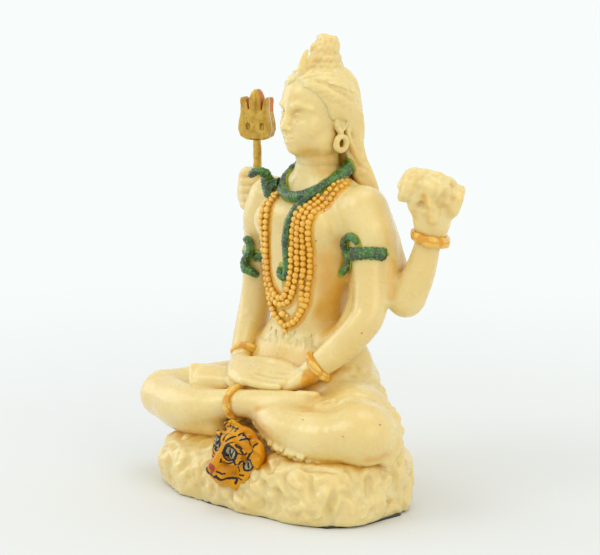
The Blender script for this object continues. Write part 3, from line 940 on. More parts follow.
def blurred(f, cells):
    """Three running means over 2 * cells + 1 cells on each axis, which together come close to a bell curve."""
    for axis in range(3):
        for _ in range(3):
            total = np.cumsum(np.pad(f, [(cells + 1, cells) if a == axis else (0, 0) for a in range(3)], mode="edge"),
                              axis=axis, dtype=np.float32)
            n = f.shape[axis]
            high, low = np.take(total, range(2 * cells + 1, n + 2 * cells + 1), axis), np.take(total, range(n), axis)
            f = (high - low) / (2 * cells + 1)
    return f


for block in BLOCKS:
    add_block(block)
add_block(head, HEAD_PLACE, HEAD_TURN)
add_block(tiger, TIGER_PLACE, TIGER_TURN)
FULL = {}
for reach, cells in (("near", 1), ("middle", 3), ("far", 7), ("wide", 13)):
    grid_copy = Clay.__new__(Clay)
    grid_copy.low, grid_copy.step, grid_copy.shape, grid_copy.axes = full.low, full.step, full.shape, full.axes
    grid_copy.f = blurred(full.f, cells)
    FULL[reach] = grid_copy
print("space", full.shape, "mean fullness", float(full.f.mean()))


# %% Creases out of fullness
def creases(points, outward):
    """How deep in a crease points lie, 0 to 1: fullness a little way outside the surface, above what a flat
    face has there, added over three reaches."""
    near = FULL["near"].at(points + 0.35 * outward)
    middle = FULL["middle"].at(points + 0.8 * outward)
    far = FULL["far"].at(points + 1.6 * outward)
    return 0.38 * ramp(near, 0.36, 0.72) + 0.42 * ramp(middle, 0.36, 0.72) + 0.2 * ramp(far, 0.36, 0.62)


# %% [markdown]
# ## Lines of the dress
# Snakes, beads and bangles lie on the body. A bead at a typed place would float or sink, so the chest's own
# front is read from the clay, and a line is drawn flat and laid on it. The same lines later tell where paint
# has strayed on to the skin around them.

# %% The front of the chest
inside = torso.f < 0
first = np.clip(inside.argmax(1), 1, None)
ix, iz = np.meshgrid(np.arange(torso.shape[0]), np.arange(torso.shape[2]), indexing="ij")
here, before = torso.f[ix, first, iz], torso.f[ix, first - 1, iz]
front_map = torso.axes[1][first] - torso.step * here / np.minimum(here - before, -1e-3)
front_map[~inside.any(1)] = 30.0


def chest(x, z):
    """How far forward the torso's skin is at x and z, from the four nearest columns of the block."""
    g = np.clip((np.asarray(x, float) - torso.low[0]) / torso.step, 0, torso.shape[0] - 1.01)
    h = np.clip((np.asarray(z, float) - torso.low[2]) / torso.step, 0, torso.shape[2] - 1.01)
    i, j = g.astype(int), h.astype(int)
    u, v = g - i, h - j
    return (front_map[i, j] * (1 - u) * (1 - v) + front_map[i + 1, j] * u * (1 - v)
            + front_map[i, j + 1] * (1 - u) * v + front_map[i + 1, j + 1] * u * v)


print("breastbone at", float(chest(0, 55)), "mm")

# %% Where the strings of beads run
BAND = np.array([[9.6, 70.6], [8.6, 67.8], [7.6, 64.5], [7.0, 61.2], [6.7, 57.6], [6.3, 53.6], [6.0, 49.7],
                 [5.8, 46.3], [5.3, 43.0], [4.3, 40.0], [2.5, 37.8], [0.2, 36.9], [-1.6, 37.2], [-3.9, 38.8],
                 [-6.3, 41.6], [-7.6, 45.0], [-8.1, 48.5], [-7.9, 52.7], [-7.4, 56.9], [-7.2, 60.5], [-7.7, 63.6],
                 [-8.7, 66.6]])


def string(left, right, start=0.0, end=1.0, after=()):
    """The line of a string of beads: the band's line moved sideways in the plane of x and z, by an amount that
    goes from left to right along it, then laid 0.4 mm deep on the chest; after adds stations of its own."""
    line = curve(BAND, 600)
    way = unit(np.gradient(line, axis=0))
    t = np.linspace(0, 1, 600)
    aside = np.interp(t, [0, 0.42, 0.62, 1], [left, left, right, right])[:, None]
    line = line + aside * np.stack([-way[:, 1], way[:, 0]], 1)
    line = line[(t >= start) & (t <= end)]
    if after:
        line = np.concatenate([line, curve([line[-1], *after], 200)[1:]])
    return np.stack([line[:, 0], np.minimum(chest(line[:, 0], line[:, 1]), 15) - 0.4, line[:, 1]], 1)


def evenly(line, pitch):
    """Points at equal steps along a line, found from its running length."""
    length = np.concatenate([[0], np.cumsum(np.linalg.norm(np.diff(line, axis=0), axis=1))])
    steps = np.arange(0, length[-1], pitch)
    return np.stack([np.interp(steps, length, line[:, k]) for k in range(3)], 1)


LONG_LOOP = ((6.4, 37.0), (4.6, 33.6), (0.6, 31.0), (-3.2, 33.2), (-5.2, 36.4), (-6.4, 40.0))
STRINGS = [string(-2.8, -0.85, start=0.06), string(-0.95, 0.9), string(0.9, 0.8, end=0.37, after=LONG_LOOP),
           string(2.75, 0, end=0.36, after=((7.6, 38.4), (6.6, 36.4)))]
GOLD_LINE = curve([[-6.4, 64.0], [-5.6, 58.0], [-6.4, 52.3], [-6.0, 47.8], [-4.0, 43.0], [-1.6, 40.2]], 60)
GOLD_LINE = np.stack([GOLD_LINE[:, 0], chest(*GOLD_LINE.T), GOLD_LINE[:, 1]], 1)
print("strings", [round(float(np.linalg.norm(np.diff(line, axis=0), axis=1).sum()), 1) for line in STRINGS], "mm")

# %% Where the snakes and bangles run
turn = np.radians(np.linspace(0, 360, 121))
COLLAR = np.stack([8.7 * np.sin(turn), 13.6 - 9.5 * np.cos(turn),
                   71.0 - 5.0 * np.cos(turn) + 0.8 * np.sin(turn) ** 2], 1)
STRAND = [[8.6, 18.4, 73.0, 1.3], [9.0, 11.6, 70.8, 1.4], [6.2, 6.4, 67.4, 1.4], [3.6, 3.0, 63.4, 1.3],
          [1.8, 1.2, 59.2, 1.15], [1.0, 0.8, 54.5, 1.05], [1.3, 0.8, 49.8, 1.0], [1.5, 0.7, 46.6, 1.0],
          [0.5, 0.6, 44.3, 1.0], [-1.0, 0.6, 45.4, 0.95], [-0.9, 0.8, 47.0, 0.7]]
HOOD = [[-13.8, 1.8, 70.4, 0.7, 0.7], [-13.0, 2.0, 71.2, 1.1, 1.0], [-11.8, 2.6, 72.0, 1.3, 1.1],
        [-11.1, 4.2, 71.6, 1.5, 1.2], [-11.5, 6.2, 69.8, 1.9, 1.2], [-12.1, 7.2, 67.6, 2.0, 1.2],
        [-12.0, 7.1, 65.8, 1.6, 1.1], [-12.0, 6.6, 64.2, 0.8, 0.8]]
HOOD_ROOT = [[-11.4, 7.4, 67.8, 1.3], [-10.0, 7.8, 68.2, 1.5], [-8.4, 8.0, 68.6, 1.4]]


def round_arm(line, share, gap):
    """A ring of 120 points round an arm, with its centre and size from the arm's line, gap outside the skin."""
    rows = curve(line, 201)
    i = int(share * 200)
    centre, way = rows[i, :3], unit(rows[min(i + 2, 200), :3] - rows[max(i - 2, 0), :3])
    across = unit(np.cross(way, [0, 0, 1.0]) if abs(way[2]) < 0.9 else np.cross(way, [0, 1.0, 0]))
    up = np.cross(way, across)
    turn = np.radians(np.linspace(0, 360, 121))[:-1, None]
    size = rows[i, 3:].mean() + gap
    return centre + size * (np.cos(turn) * across + np.sin(turn) * up)


DRUM_WRIST = [[34, 18.8, 49, 4], [36.1, 19.8, 56.8, 3.7], [36.5, 19.7, 60, 3.9]]
BANGLES = {"bangle_left": round_arm(LEFT_ARM, 0.93, 0.25),
           "bangle_right": round_arm(RIGHT_ARM, 0.93, 0.0) + [0.6, 0.6, 0],
           "bangle_drum": round_arm(DRUM_WRIST, 0.5, 0.55), "bangle_trident": round_arm(RIGHT_RAISED, 0.92, 0.35),
           "anklet": round_arm(RIGHT_FOOT, 0.07, 0.5)}
FAR_SIDE = np.array([0.707, 0.707, 0])  # the way in which an armband thins out
ARMBANDS = {"armband_left": round_arm(LEFT_ARM, 0.292, 0.3),
            "armband_right": round_arm(RIGHT_ARM, 0.36, 0.0) + [0.4, 0.4, 0]}
CURL_LEFT = [[22.4, 6.2, 55.0, 0.7], [21.7, 5.9, 56.4, 0.95], [20.2, 5.8, 57.0, 1.1], [17.9, 6.4, 55.9, 1.15],
             [16.9, 7.2, 54.0, 1.2], [17.2, 7.9, 52.0, 1.2], [18.1, 7.9, 50.6, 1.25], [17.5, 8.2, 49.1, 1.25],
             [16.1, 8.3, 47.6, 1.2], [15.0, 8.0, 45.8, 0.9]]
CURL_RIGHT = [[-20.8, 6.2, 51.6, 0.9], [-19.6, 6.4, 51.9, 1.2], [-18.8, 6.6, 50.0, 1.15], [-19.4, 6.7, 48.0, 1.2],
              [-20.8, 6.5, 46.0, 1.35], [-20.4, 6.4, 43.8, 1.5], [-18.6, 6.9, 43.0, 1.4], [-16.8, 8.0, 41.6, 0.8]]
CURLS = {"curl_left": CURL_LEFT, "curl_right": CURL_RIGHT}
print(len(BANGLES), "bangles,", len(ARMBANDS), "armbands,", len(CURLS), "curls")

# %% [markdown]
# ## Materials
# Everything but the trident and the pad is the same resin in a few tints, so one node group gives its tone:
# soft mottling, amber where it is deep, and the odd pinhole from the casting. Light goes a little way into it,
# and a clear coat with a faint sheen stands for the varnish. A second group lays paint over any colour through
# a mask with a broken edge, the way a quick brush does it. Nothing has to be wrapped round the shapes.


# %% Node helpers
def new_group(name, inputs, outputs):
    """An empty node group with named sockets; each input is (name, kind, default)."""
    group = bpy.data.node_groups.new(name, "ShaderNodeTree")
    for title, kind, default in inputs:
        socket = group.interface.new_socket(title, in_out="INPUT", socket_type=kind)
        if default is not None:
            socket.default_value = default
    for title, kind in outputs:
        group.interface.new_socket(title, in_out="OUTPUT", socket_type=kind)
    return group, group.nodes.new("NodeGroupInput"), group.nodes.new("NodeGroupOutput")


def node(tree, kind, links=None, **settings):
    """A shader node with its settings, and its inputs either linked to other outputs or set to values."""
    made = tree.nodes.new("ShaderNode" + kind)
    for key, value in settings.items():
        setattr(made, key, value)
    for key, value in (links or {}).items():
        if isinstance(value, bpy.types.NodeSocket):
            tree.links.new(value, made.inputs[key])
        else:
            made.inputs[key].default_value = value
    return made


def mixed(tree, factor, one, two):
    """A colour between two others. A Mix node's colour sockets are number 6 and 7, and its result number 2."""
    return node(tree, "Mix", {0: factor, 6: one, 7: two}, data_type="RGBA").outputs[2]


def noise(tree, place, scale, detail, rough):
    """Cloudy noise from 0 to 1 at a place in space, with about scale clouds in a metre."""
    links = {"Vector": place, "Scale": scale, "Detail": detail, "Roughness": rough}
    return node(tree, "TexNoise", links).outputs["Fac"]


def place_in(tree):
    """The point's own place on the object, in metres."""
    return node(tree, "TexCoord").outputs["Object"]


def spread_out(tree, value, low, high, out_low=0.0, out_high=1.0):
    """A value moved from one range to another and kept inside it."""
    made = node(tree, "MapRange", {0: value, 1: low, 2: high, 3: out_low, 4: out_high},
                interpolation_type="SMOOTHSTEP")
    return made.outputs[0]


def maths(tree, how, a, b):
    """One sum on two values."""
    return node(tree, "Math", {0: a, 1: b}, operation=how).outputs[0]


print("node helpers ready")

# %% The resin's tone
tone, tone_in, tone_out = new_group("Resin tone", [
    ("Cream", "NodeSocketColor", (0.8, 0.62, 0.29, 1)), ("Pale", "NodeSocketColor", (0.9, 0.76, 0.43, 1)),
    ("Cloud", "NodeSocketColor", (0.74, 0.5, 0.19, 1)), ("Amber", "NodeSocketColor", (0.72, 0.3, 0.06, 1)),
    ("Depth", "NodeSocketFloat", 0.0), ("Shelter", "NodeSocketFloat", 0.0), ("Pinholes", "NodeSocketFloat", 1.0)],
    [("Color", "NodeSocketColor"), ("Roughness", "NodeSocketFloat"), ("Height", "NodeSocketFloat")])
place = place_in(tone)
broad = noise(tone, place, 70.0, 3.0, 0.5)
cloud = noise(tone, place, 260.0, 4.0, 0.6)
grain = noise(tone, place, 1500.0, 2.0, 0.6)
pale = mixed(tone, spread_out(tone, broad, 0.38, 0.66), tone_in.outputs["Cream"], tone_in.outputs["Pale"])
sheltered = mixed(tone, spread_out(tone, tone_in.outputs["Shelter"], 0.1, 1.0, 0, 0.8), pale, tone_in.outputs["Cloud"])
cloudy = mixed(tone, spread_out(tone, cloud, 0.5, 0.72, 0, 0.2), sheltered, tone_in.outputs["Cloud"])
soaked = maths(tone, "MULTIPLY", tone_in.outputs["Depth"], spread_out(tone, cloud, 0.3, 0.65, 0.75, 1.0))
deep = mixed(tone, spread_out(tone, soaked, 0.06, 0.85), cloudy, tone_in.outputs["Amber"])
cells = node(tone, "TexVoronoi", {"Vector": place, "Scale": 260.0, "Randomness": 1.0})
rare = spread_out(tone, node(tone, "SeparateColor", {0: cells.outputs["Color"]}).outputs[0], 0.955, 0.96)
hole = maths(tone, "MULTIPLY", spread_out(tone, cells.outputs["Distance"], 0.07, 0.03), rare)
hole = maths(tone, "MULTIPLY", hole, tone_in.outputs["Pinholes"])
tone.links.new(mixed(tone, hole, deep, (0.16, 0.07, 0.02, 1)), tone_out.inputs["Color"])
tone.links.new(spread_out(tone, cloud, 0.3, 0.75, 0.24, 0.38), tone_out.inputs["Roughness"])
uneven = maths(tone, "ADD", maths(tone, "MULTIPLY", cloud, 0.7), maths(tone, "MULTIPLY", grain, 0.12))
tone.links.new(maths(tone, "SUBTRACT", uneven, maths(tone, "MULTIPLY", hole, 1.2)), tone_out.inputs["Height"])
print(tone.name, len(tone.nodes), "nodes")

# %% Paint over what is below
paint, paint_in, paint_out = new_group("Brushed paint", [
    ("Under", "NodeSocketColor", (0.8, 0.6, 0.3, 1)), ("Paint", "NodeSocketColor", (0.5, 0.3, 0.05, 1)),
    ("Mask", "NodeSocketFloat", 0.0), ("Broken", "NodeSocketFloat", 0.4)],
    [("Color", "NodeSocketColor"), ("Cover", "NodeSocketFloat")])
place = place_in(paint)
brush = noise(paint, place, 700.0, 3.0, 0.65)
torn = maths(paint, "MULTIPLY", maths(paint, "SUBTRACT", brush, 0.5), paint_in.outputs["Broken"])
cover = spread_out(paint, maths(paint, "ADD", paint_in.outputs["Mask"], torn), 0.3, 0.62)
paint.links.new(mixed(paint, cover, paint_in.outputs["Under"], paint_in.outputs["Paint"]), paint_out.inputs["Color"])
paint.links.new(cover, paint_out.inputs["Cover"])
print(paint.name, len(paint.nodes), "nodes")


# %% Material helpers
def new_material(name, **plain):
    """A material with one Principled shader, whose unvarying values are set on its own sockets."""
    made = bpy.data.materials.new(name)
    made.use_nodes = True
    shader = made.node_tree.nodes["Principled BSDF"]
    for key, value in plain.items():
        shader.inputs[key.replace("_", " ")].default_value = value
    return made, made.node_tree, shader


def use(tree, group, **links):
    """A node group placed in a material, with its inputs linked or set."""
    return node(tree, "Group", links, node_tree=group)


def mask_of(tree, name):
    """The number that a point attribute carries."""
    return node(tree, "Attribute", attribute_name=name).outputs["Fac"]


def bumped(tree, shader, height, distance):
    """Height in, through a Bump node, to the shader's normal."""
    bump = node(tree, "Bump", {"Height": height, "Distance": distance, "Strength": 1.0})
    tree.links.new(bump.outputs["Normal"], shader.inputs["Normal"])


print("material helpers ready")

# %% Resin with its paint
GOLD, LIME = (0.78, 0.43, 0.045, 1), (0.4, 0.42, 0.03, 1)
ORANGE, PIT, INK = (0.82, 0.4, 0.03, 1), (0.2, 0.1, 0.03, 1), (0.02, 0.018, 0.014, 1)
BONE, BRICK = (0.42, 0.37, 0.24, 1), (0.36, 0.05, 0.02, 1)


def resin_material(name, cream, pale, cloud, amber, pinholes=1.0, paints=(), clear=0.5, gloss=0.5, bent=1.5,
                   bloom=0.0):
    """Resin tone below, then each paint in turn through its own mask. Clear is how much light goes in, gloss the
    varnish, bent how much it bends light, and bloom the faint sheen."""
    made, tree, shader = new_material(name, Subsurface_Weight=clear, Subsurface_Radius=(1.0, 0.72, 0.3),
                                      Subsurface_Scale=0.003, IOR=bent, Coat_Weight=gloss, Coat_Roughness=0.14,
                                      Sheen_Weight=bloom, Sheen_Roughness=0.35, Sheen_Tint=(1.0, 0.96, 0.72, 1))
    below = use(tree, tone, Cream=cream, Pale=pale, Cloud=cloud, Amber=amber, Depth=mask_of(tree, "crease"),
                Shelter=mask_of(tree, "honey"), Pinholes=pinholes)
    colour = below.outputs["Color"]
    for key, shade, broken in paints:
        colour = use(tree, paint, Under=colour, Paint=shade, Mask=mask_of(tree, key), Broken=broken).outputs["Color"]
    tree.links.new(colour, shader.inputs["Base Color"])
    tree.links.new(below.outputs["Roughness"], shader.inputs["Roughness"])
    bumped(tree, shader, below.outputs["Height"], 0.00012)
    return made


STRAYED = ("green", LIME, 0.9), ("gold", GOLD, 0.8), ("orange", ORANGE, 0.9), ("black", PIT, 0.3)
STRIPED = ("white", BONE, 0.3), ("red", BRICK, 0.3), ("black", INK, 0.25)
resin = resin_material("cream_resin", (0.775, 0.6, 0.24, 1), (0.81, 0.66, 0.3, 1), (0.74, 0.5, 0.12, 1),
                       (0.7, 0.39, 0.05, 1), paints=STRAYED, bloom=0.22)
tiger_resin = resin_material("orange_resin", (0.62, 0.235, 0.002, 1), (0.7, 0.33, 0.003, 1), (0.55, 0.19, 0.002, 1),
                             (0.38, 0.1, 0.002, 1), 0.5, STRIPED, clear=0.1, gloss=0.12, bent=1.3)
gold_resin = resin_material("gold_stained_resin", (0.8, 0.48, 0.07, 1), (0.84, 0.56, 0.11, 1), (0.74, 0.4, 0.04, 1),
                            (0.7, 0.33, 0.02, 1), pinholes=0.3, clear=0.25)
bead_resin = resin_material("bead_resin", (0.83, 0.42, 0.022, 1), (0.92, 0.56, 0.07, 1), (0.78, 0.36, 0.014, 1),
                            (0.6, 0.24, 0.004, 1), pinholes=0.0, clear=0.12, gloss=0.9)
print("resins", [m.name for m in (resin, tiger_resin, gold_resin, bead_resin)])

# %% Green snake paint
snake_paint, tree, shader = new_material("green_snake_paint", Roughness=0.3, Coat_Weight=1.0, Coat_Roughness=0.1,
                                         IOR=1.45)
place = place_in(tree)
dabs = noise(tree, place, 1300.0, 3.0, 0.6)
wash = noise(tree, place, 320.0, 2.0, 0.5)
green = mixed(tree, spread_out(tree, wash, 0.4, 0.62), (0.003, 0.03, 0.004, 1), (0.028, 0.16, 0.012, 1))
raised = maths(tree, "SUBTRACT", 1.0, mask_of(tree, "crease"))
light = maths(tree, "MULTIPLY", spread_out(tree, raised, 0.4, 0.95), spread_out(tree, dabs, 0.5, 0.66, 0, 0.65))
green = mixed(tree, light, green, (0.19, 0.39, 0.035, 1))
green = use(tree, paint, Under=green, Paint=(0.38, 0.42, 0.015, 1), Mask=mask_of(tree, "green"),
            Broken=0.8).outputs["Color"]
tree.links.new(green, shader.inputs["Base Color"])
bumped(tree, shader, dabs, 0.0004)
print(snake_paint.name, len(tree.nodes), "nodes")

# %% Worn gilt metal
gilt, tree, shader = new_material("worn_gilt_metal", IOR=1.5)
place = place_in(tree)
patch = noise(tree, place, 330.0, 5.0, 0.65)
speck = noise(tree, place, 1600.0, 3.0, 0.6)
brass = mixed(tree, spread_out(tree, patch, 0.4, 0.64), (0.66, 0.43, 0.08, 1), (0.5, 0.29, 0.04, 1))
brass = mixed(tree, spread_out(tree, speck, 0.55, 0.75, 0, 0.7), brass, (0.3, 0.13, 0.03, 1))
brass = mixed(tree, mask_of(tree, "crease"), brass, (0.06, 0.035, 0.015, 1))
brass = use(tree, paint, Under=brass, Paint=(0.62, 0.2, 0.025, 1), Mask=mask_of(tree, "orange"),
            Broken=0.9).outputs["Color"]
worn = use(tree, paint, Under=brass, Paint=(0.72, 0.7, 0.66, 1), Mask=mask_of(tree, "white"), Broken=0.7)
tree.links.new(worn.outputs["Color"], shader.inputs["Base Color"])
tree.links.new(spread_out(tree, patch, 0.3, 0.7, 0.36, 0.58), shader.inputs["Roughness"])
tree.links.new(spread_out(tree, speck, 0.5, 0.75, 0.62, 0.25), shader.inputs["Metallic"])
bumped(tree, shader, maths(tree, "ADD", patch, maths(tree, "MULTIPLY", speck, 0.5)), 0.0002)
print(gilt.name, len(tree.nodes), "nodes")

# %% Black felt for the pad under the rock
felt, tree, shader = new_material("black_felt", Roughness=0.95, Sheen_Weight=0.3, Sheen_Roughness=0.5)
place = place_in(tree)
fibre = node(tree, "TexNoise", {"Vector": place, "Scale": 2600.0, "Detail": 4.0, "Roughness": 0.7, "Distortion": 1.5})
tree.links.new(mixed(tree, fibre.outputs["Fac"], (0.014, 0.012, 0.012, 1), (0.05, 0.045, 0.045, 1)),
               shader.inputs["Base Color"])
bumped(tree, shader, fibre.outputs["Fac"], 0.00015)
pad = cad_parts["underside_pad"]
for k in range(max(len(pad.data.materials), 1)):
    if len(pad.data.materials):
        pad.material_slots[k].material = felt
    else:
        pad.data.materials.append(felt)
print("materials", [m.name for m in bpy.data.materials])

# %% [markdown]
# ## Skins
# Now each block of clay gets its skin. One block for all would need far more cells, so there are several, and
# they overlap where a seam is hidden anyway: under the collar snake, the bangles and the border of the cloth.
# Every point is given its depth in a crease, and the paint that has strayed on to it. A stain is a line with a
# width and a fade.

# %% Where amber gathers, where the cream stays clean, and where paint strayed
AMBER = [([[39.0, 13.4, 67.0], [39.6, 13.4, 64.4], [39.2, 13.8, 62.0]], 0.5, 2.0, 0.8),
         ([[12.8, 5.8, 50.0], [12.6, 7.6, 42.0], [10.8, 7.4, 35.8], [12.6, 7.6, 32.0]], 1.0, 6.5, 0.74),
         ([[15.3, 7.1, 54.0], [15.6, 8.0, 47.0], [15.0, 9.0, 41.0], [13.6, 9.6, 34.0]], 0.8, 4.4, 0.74),
         ([[7.4, 14.0, 79.6], [6.4, 12.6, 76.4], [5.6, 11.0, 73.4], [3.0, 6.9, 77.6]], 0.6, 4.6, 0.55),
         ([[27.8, 14.0, 50.0], [28.7, 12.7, 46.0], [29.2, 12.4, 41.0]], 0.2, 2.6, 0.6),
         ([[8.6, 15.2, 81.6], [9.4, 17.8, 78.2], [10.0, 20.4, 73.0]], 0.2, 2.2, 0.5),
         ([[6.0, -15.4, 11.4], [11.5, -12.0, 12.2], [16.0, -9.6, 12.2], [20.0, -8.2, 12.4]], 0.2, 1.8, 0.6),
         ([[38.6, 13.7, 68.4], [39.4, 13.5, 65.4], [39.0, 14.1, 62.6]], 0.3, 1.7, 0.8),
         ([[35.2, 14.5, 64.0], [35.2, 14.5, 62.4]], 0.2, 1.6, 0.5), ([[32, 16, 72.5], [40, 21, 73]], 0.2, 1.4, 0.4),
         ([[20.0, 12.0, 60.0], [24.6, 14.4, 58.0]], 0.5, 4.0, 0.3),
         ([[41.4, -9.0, 3.0], [43.8, -4.0, 3.4]], 0.2, 2.6, 0.6),
         ([[10.6, -18.0, 1.0], [20.0, -17.4, 0.6], [30.0, -15.0, 0.6], [38.0, -9.0, 0.6]], 0.3, 2.0, 0.5)]
CLEAN = [([[17, 3, 21], [21, 6, 19], [26, 12, 14], [30, 5, 16]], 4.0, 5.0, 0.75),
         ([[-6, 0, 30], [0, 0, 32], [8, 1, 31]], 3.0, 5.0, 0.5),
         ([[10, 19, 80], [11, 22, 72], [13, 24, 63]], 3.4, 4.0, 1.0),
         ([[-30, -22, -7], [0, -24, -7], [36, -20, -7], [41, 4, -7]], 5.0, 5.0, 0.6)]
PITS = [[36.85, -13.96, 9.05], [42.95, -6.67, 11.99], [24.15, -15.7, 11.63], [36.18, -8.34, -2.7],
        [36.5, -10.1, -8.3], [-6.41, -0.17, 23.98], [-0.02, -1.07, 23.65], [6.4, 2.1, 28.26], [16.61, -5.51, 16.75],
        [-1.32, 12.49, 103.28], [11.03, 2.35, 55.19], [9.93, 3.48, 48.19], [28.58, 7.05, 38.47], [11.36, 5.04, 63.02]]
STAINS = {"green": [(COLLAR, 1.45, 0.8), (STRAND, 1.0, 0.8), (HOOD, 1.4, 0.8)]
          + [(ring[(ring - ring.mean(0)) @ FAR_SIDE < 3.2], 1.4, 0.6) for ring in ARMBANDS.values()]
          + [(curl, 1.0, 0.6) for curl in CURLS.values()]
          + [(HOOD_ROOT, 1.6, 0.6), ([[0.4, 1.0, 43.0], [0.6, 1.0, 41.6]], 0.6, 0.8)],
          "gold": [(line[::8], 1.2, 1.3) for line in STRINGS] + [(ring, 1.15, 0.7) for ring in BANGLES.values()]
          + [(GOLD_LINE[::3], 0.32, 0.3)],
          "orange": [([[14.8, -4.2, 20.0], [15.0, -4.2, 18.0], [14.6, -3.0, 17.0]], 0.1, 3.4),
                     ([[13.0, -20.4, 5.0], [14.0, -19.6, 1.0], [12.6, -20.0, -4.0], [10.0, -20.6, -8.6]], 0.3, 2.6),
                     ([[36.4, -10, -7.2], [36.4, -10, -8.2]], 0.1, 0.8),
                     ([[25.6, -16.2, -0.2], [25.8, -16.2, -0.8]], 0.1, 0.9),
                     ([[9.2, 2.0, 21.5], [10.2, 2.4, 21.0]], 0.1, 1.8)],
          "black": [([spot, spot], 0.12, 0.28) for spot in PITS]}
print({key: len(lines) for key, lines in STAINS.items()}, "stains")


# %% Masks for every point, and the skins
def normals(points, faces):
    """The mean direction of the faces round each point, from the cross product of their diagonals."""
    total = np.zeros_like(points)
    for block in faces if isinstance(faces, list) else [faces]:
        cross = np.cross(points[block[:, 2 if block.shape[1] > 3 else 1]] - points[block[:, 0]],
                         points[block[:, -1]] - points[block[:, 1 if block.shape[1] > 3 else 0]])
        for k in range(block.shape[1]):
            for axis in range(3):
                total[:, axis] += np.bincount(block[:, k], cross[:, axis], len(points))
    return unit(total)


def coat(points, faces):
    """All the masks of a resin skin: its creases, and for each paint the greatest of its lines' nearness."""
    out = normals(points, faces)
    soaked = np.max([deep * along_line(points, line, wide, fade) for line, wide, fade, deep in AMBER], axis=0)
    clean = 1 - np.max([much * along_line(points, line, wide, fade) for line, wide, fade, much in CLEAN], axis=0)
    masks = {"crease": np.maximum(creases(points, out), soaked),
             "honey": clean * ramp(FULL["wide"].at(points + 2.5 * out), 0.31, 0.5)}
    for key, lines in STAINS.items():
        masks[key] = np.max([along_line(points, line, wide, fade) for line, wide, fade in lines], axis=0)
    return masks


def skinned(name, block, material, place=None, turn=None, extra=None):
    """The skin of a block as a piece, moved out of the block's own frame where it has one."""
    points, faces = block.skin()
    marks = extra(points) if extra else {}
    if turn is not None:
        points = points @ turn.T + place
    return piece(name, points, faces, material, {**coat(points, faces), **marks})


skinned("torso_and_arms", torso, resin)
skinned("legs_and_cloth", legs, resin)
skinned("rock", rock, resin)
skinned("head", head, resin, HEAD_PLACE, HEAD_TURN)
skinned("hair_and_topknot", hair, resin)
skinned("hands_in_lap", lap, resin)
skinned("fist_on_trident", fist, resin)
skinned("hand_with_drum", hold, resin)

# %% [markdown]
# ## The tiger's markings
# Stripes, eyes and nose are drawn with a thin brush. A flat picture would stretch over the muzzle, so every
# stroke is a line laid on the head and read by distance, like the stains.

# %% Strokes on the tiger's head
EYE = np.radians(np.linspace(0, 360, 25))


def on_tiger(line):
    """A drawn line of x and z laid on the front of the tiger's head, at the first grid cell inside it."""
    line = curve(line, 8 * len(line))
    i, k = (np.clip(np.rint((line[:, n] - tiger.low[m]) / tiger.step).astype(int), 0, tiger.shape[m] - 1)
            for n, m in ((0, 0), (1, 2)))
    return np.stack([line[:, 0], tiger.axes[1][(tiger.f < 0).argmax(1)[i, k]], line[:, 1]], 1)


def tiger_marks(p):
    """Ink, white and brick masks from lines on the head, mirrored about its middle plane."""
    q = np.stack([np.abs(p[:, 0]), p[:, 1], p[:, 2]], 1)
    front = ramp(-p[:, 1], -3.6, -2.4)
    eye = np.stack([2.8 + 1.75 * np.cos(EYE), 3.4 + 2.0 * np.sin(EYE)], 1)
    cheek = np.stack([6.7 + 1.15 * np.cos(EYE), 0.9 + 1.6 * np.sin(EYE)], 1)
    strokes = [(eye, 0.3), (1.14 * eye - [0.45, 0.4], 0.14), ([[2.2, 4.2], [3.2, 2.8]], 0.42),
               ([[3.6, 4.4], [3.5, 2.4]], 0.16), ([[1.9, 3.6], [2.2, 2.2]], 0.16),
               ([[0.8, 2.4], [1.4, 5.2], [3.0, 6.4], [5.2, 5.6]], 0.24), ([[0.5, 5.6], [1.2, 7.4]], 0.26),
               ([[1.4, 7.0], [3.6, 6.6]], 0.24), ([[4.2, 6.3], [5.4, 5.2], [6.3, 3.4]], 0.28),
               ([[6.1, 6.5], [6.3, 4.6], [6.2, 2.9]], 0.26), ([[4.7, 4.2], [6.0, 4.0]], 0.2),
               ([[4.4, 1.6], [5.2, 0.6]], 0.22), ([[1.2, 1.0], [1.5, -0.6]], 0.2),
               ([[2.0, 0.4], [3.6, 0.7], [4.4, 1.6]], 0.2), (cheek, 0.26), ([[6.2, 1.6], [6.9, 0.2]], 0.25),
               ([[4.4, -0.6], [5.2, -1.6]], 0.18), ([[5.6, -2.4], [6.8, -2.0]], 0.2),
               ([[5.4, -3.4], [6.6, -3.4]], 0.18), ([[1.5, -2.5], [2.9, -2.8]], 0.2),
               ([[1.8, -3.3], [2.2, -3.4]], 0.16),
               ([[0.4, -4.6], [2.2, -3.7], [3.3, -4.2], [5.1, -3.9], [5.5, -4.9]], 0.36)]
    black = np.max([along_line(q, on_tiger(line), 0.72 * wide, 0.2) for line, wide in strokes], axis=0) * front
    inner = along_line(q, on_tiger([[2.4, 4.2], [3.1, 2.6]]), 1.3, 0.5)
    brow = along_line(q, on_tiger([[1.8, 6.2], [3.2, 6.9]]), 0.25, 0.3)
    spot = along_line(q, on_tiger([[6.6, 1.6], [6.8, 0.2]]), 0.8, 0.4)
    brick = np.maximum(along_line(q, on_tiger([[0, -1.4], [0.7, -1.5], [0.3, -2.5]]), 0.55, 0.4),
                       along_line(q, on_tiger([[0, -2.6], [0, -4.2]]), 0.3, 0.3))
    return {"black": black, "white": np.maximum(np.maximum(inner, 0.7 * brow), spot) * front,
            "red": brick, "gold": 0 * black, "green": 0 * black, "orange": 0 * black}


skinned("tiger_head", tiger, tiger_resin, TIGER_PLACE, TIGER_TURN, tiger_marks)

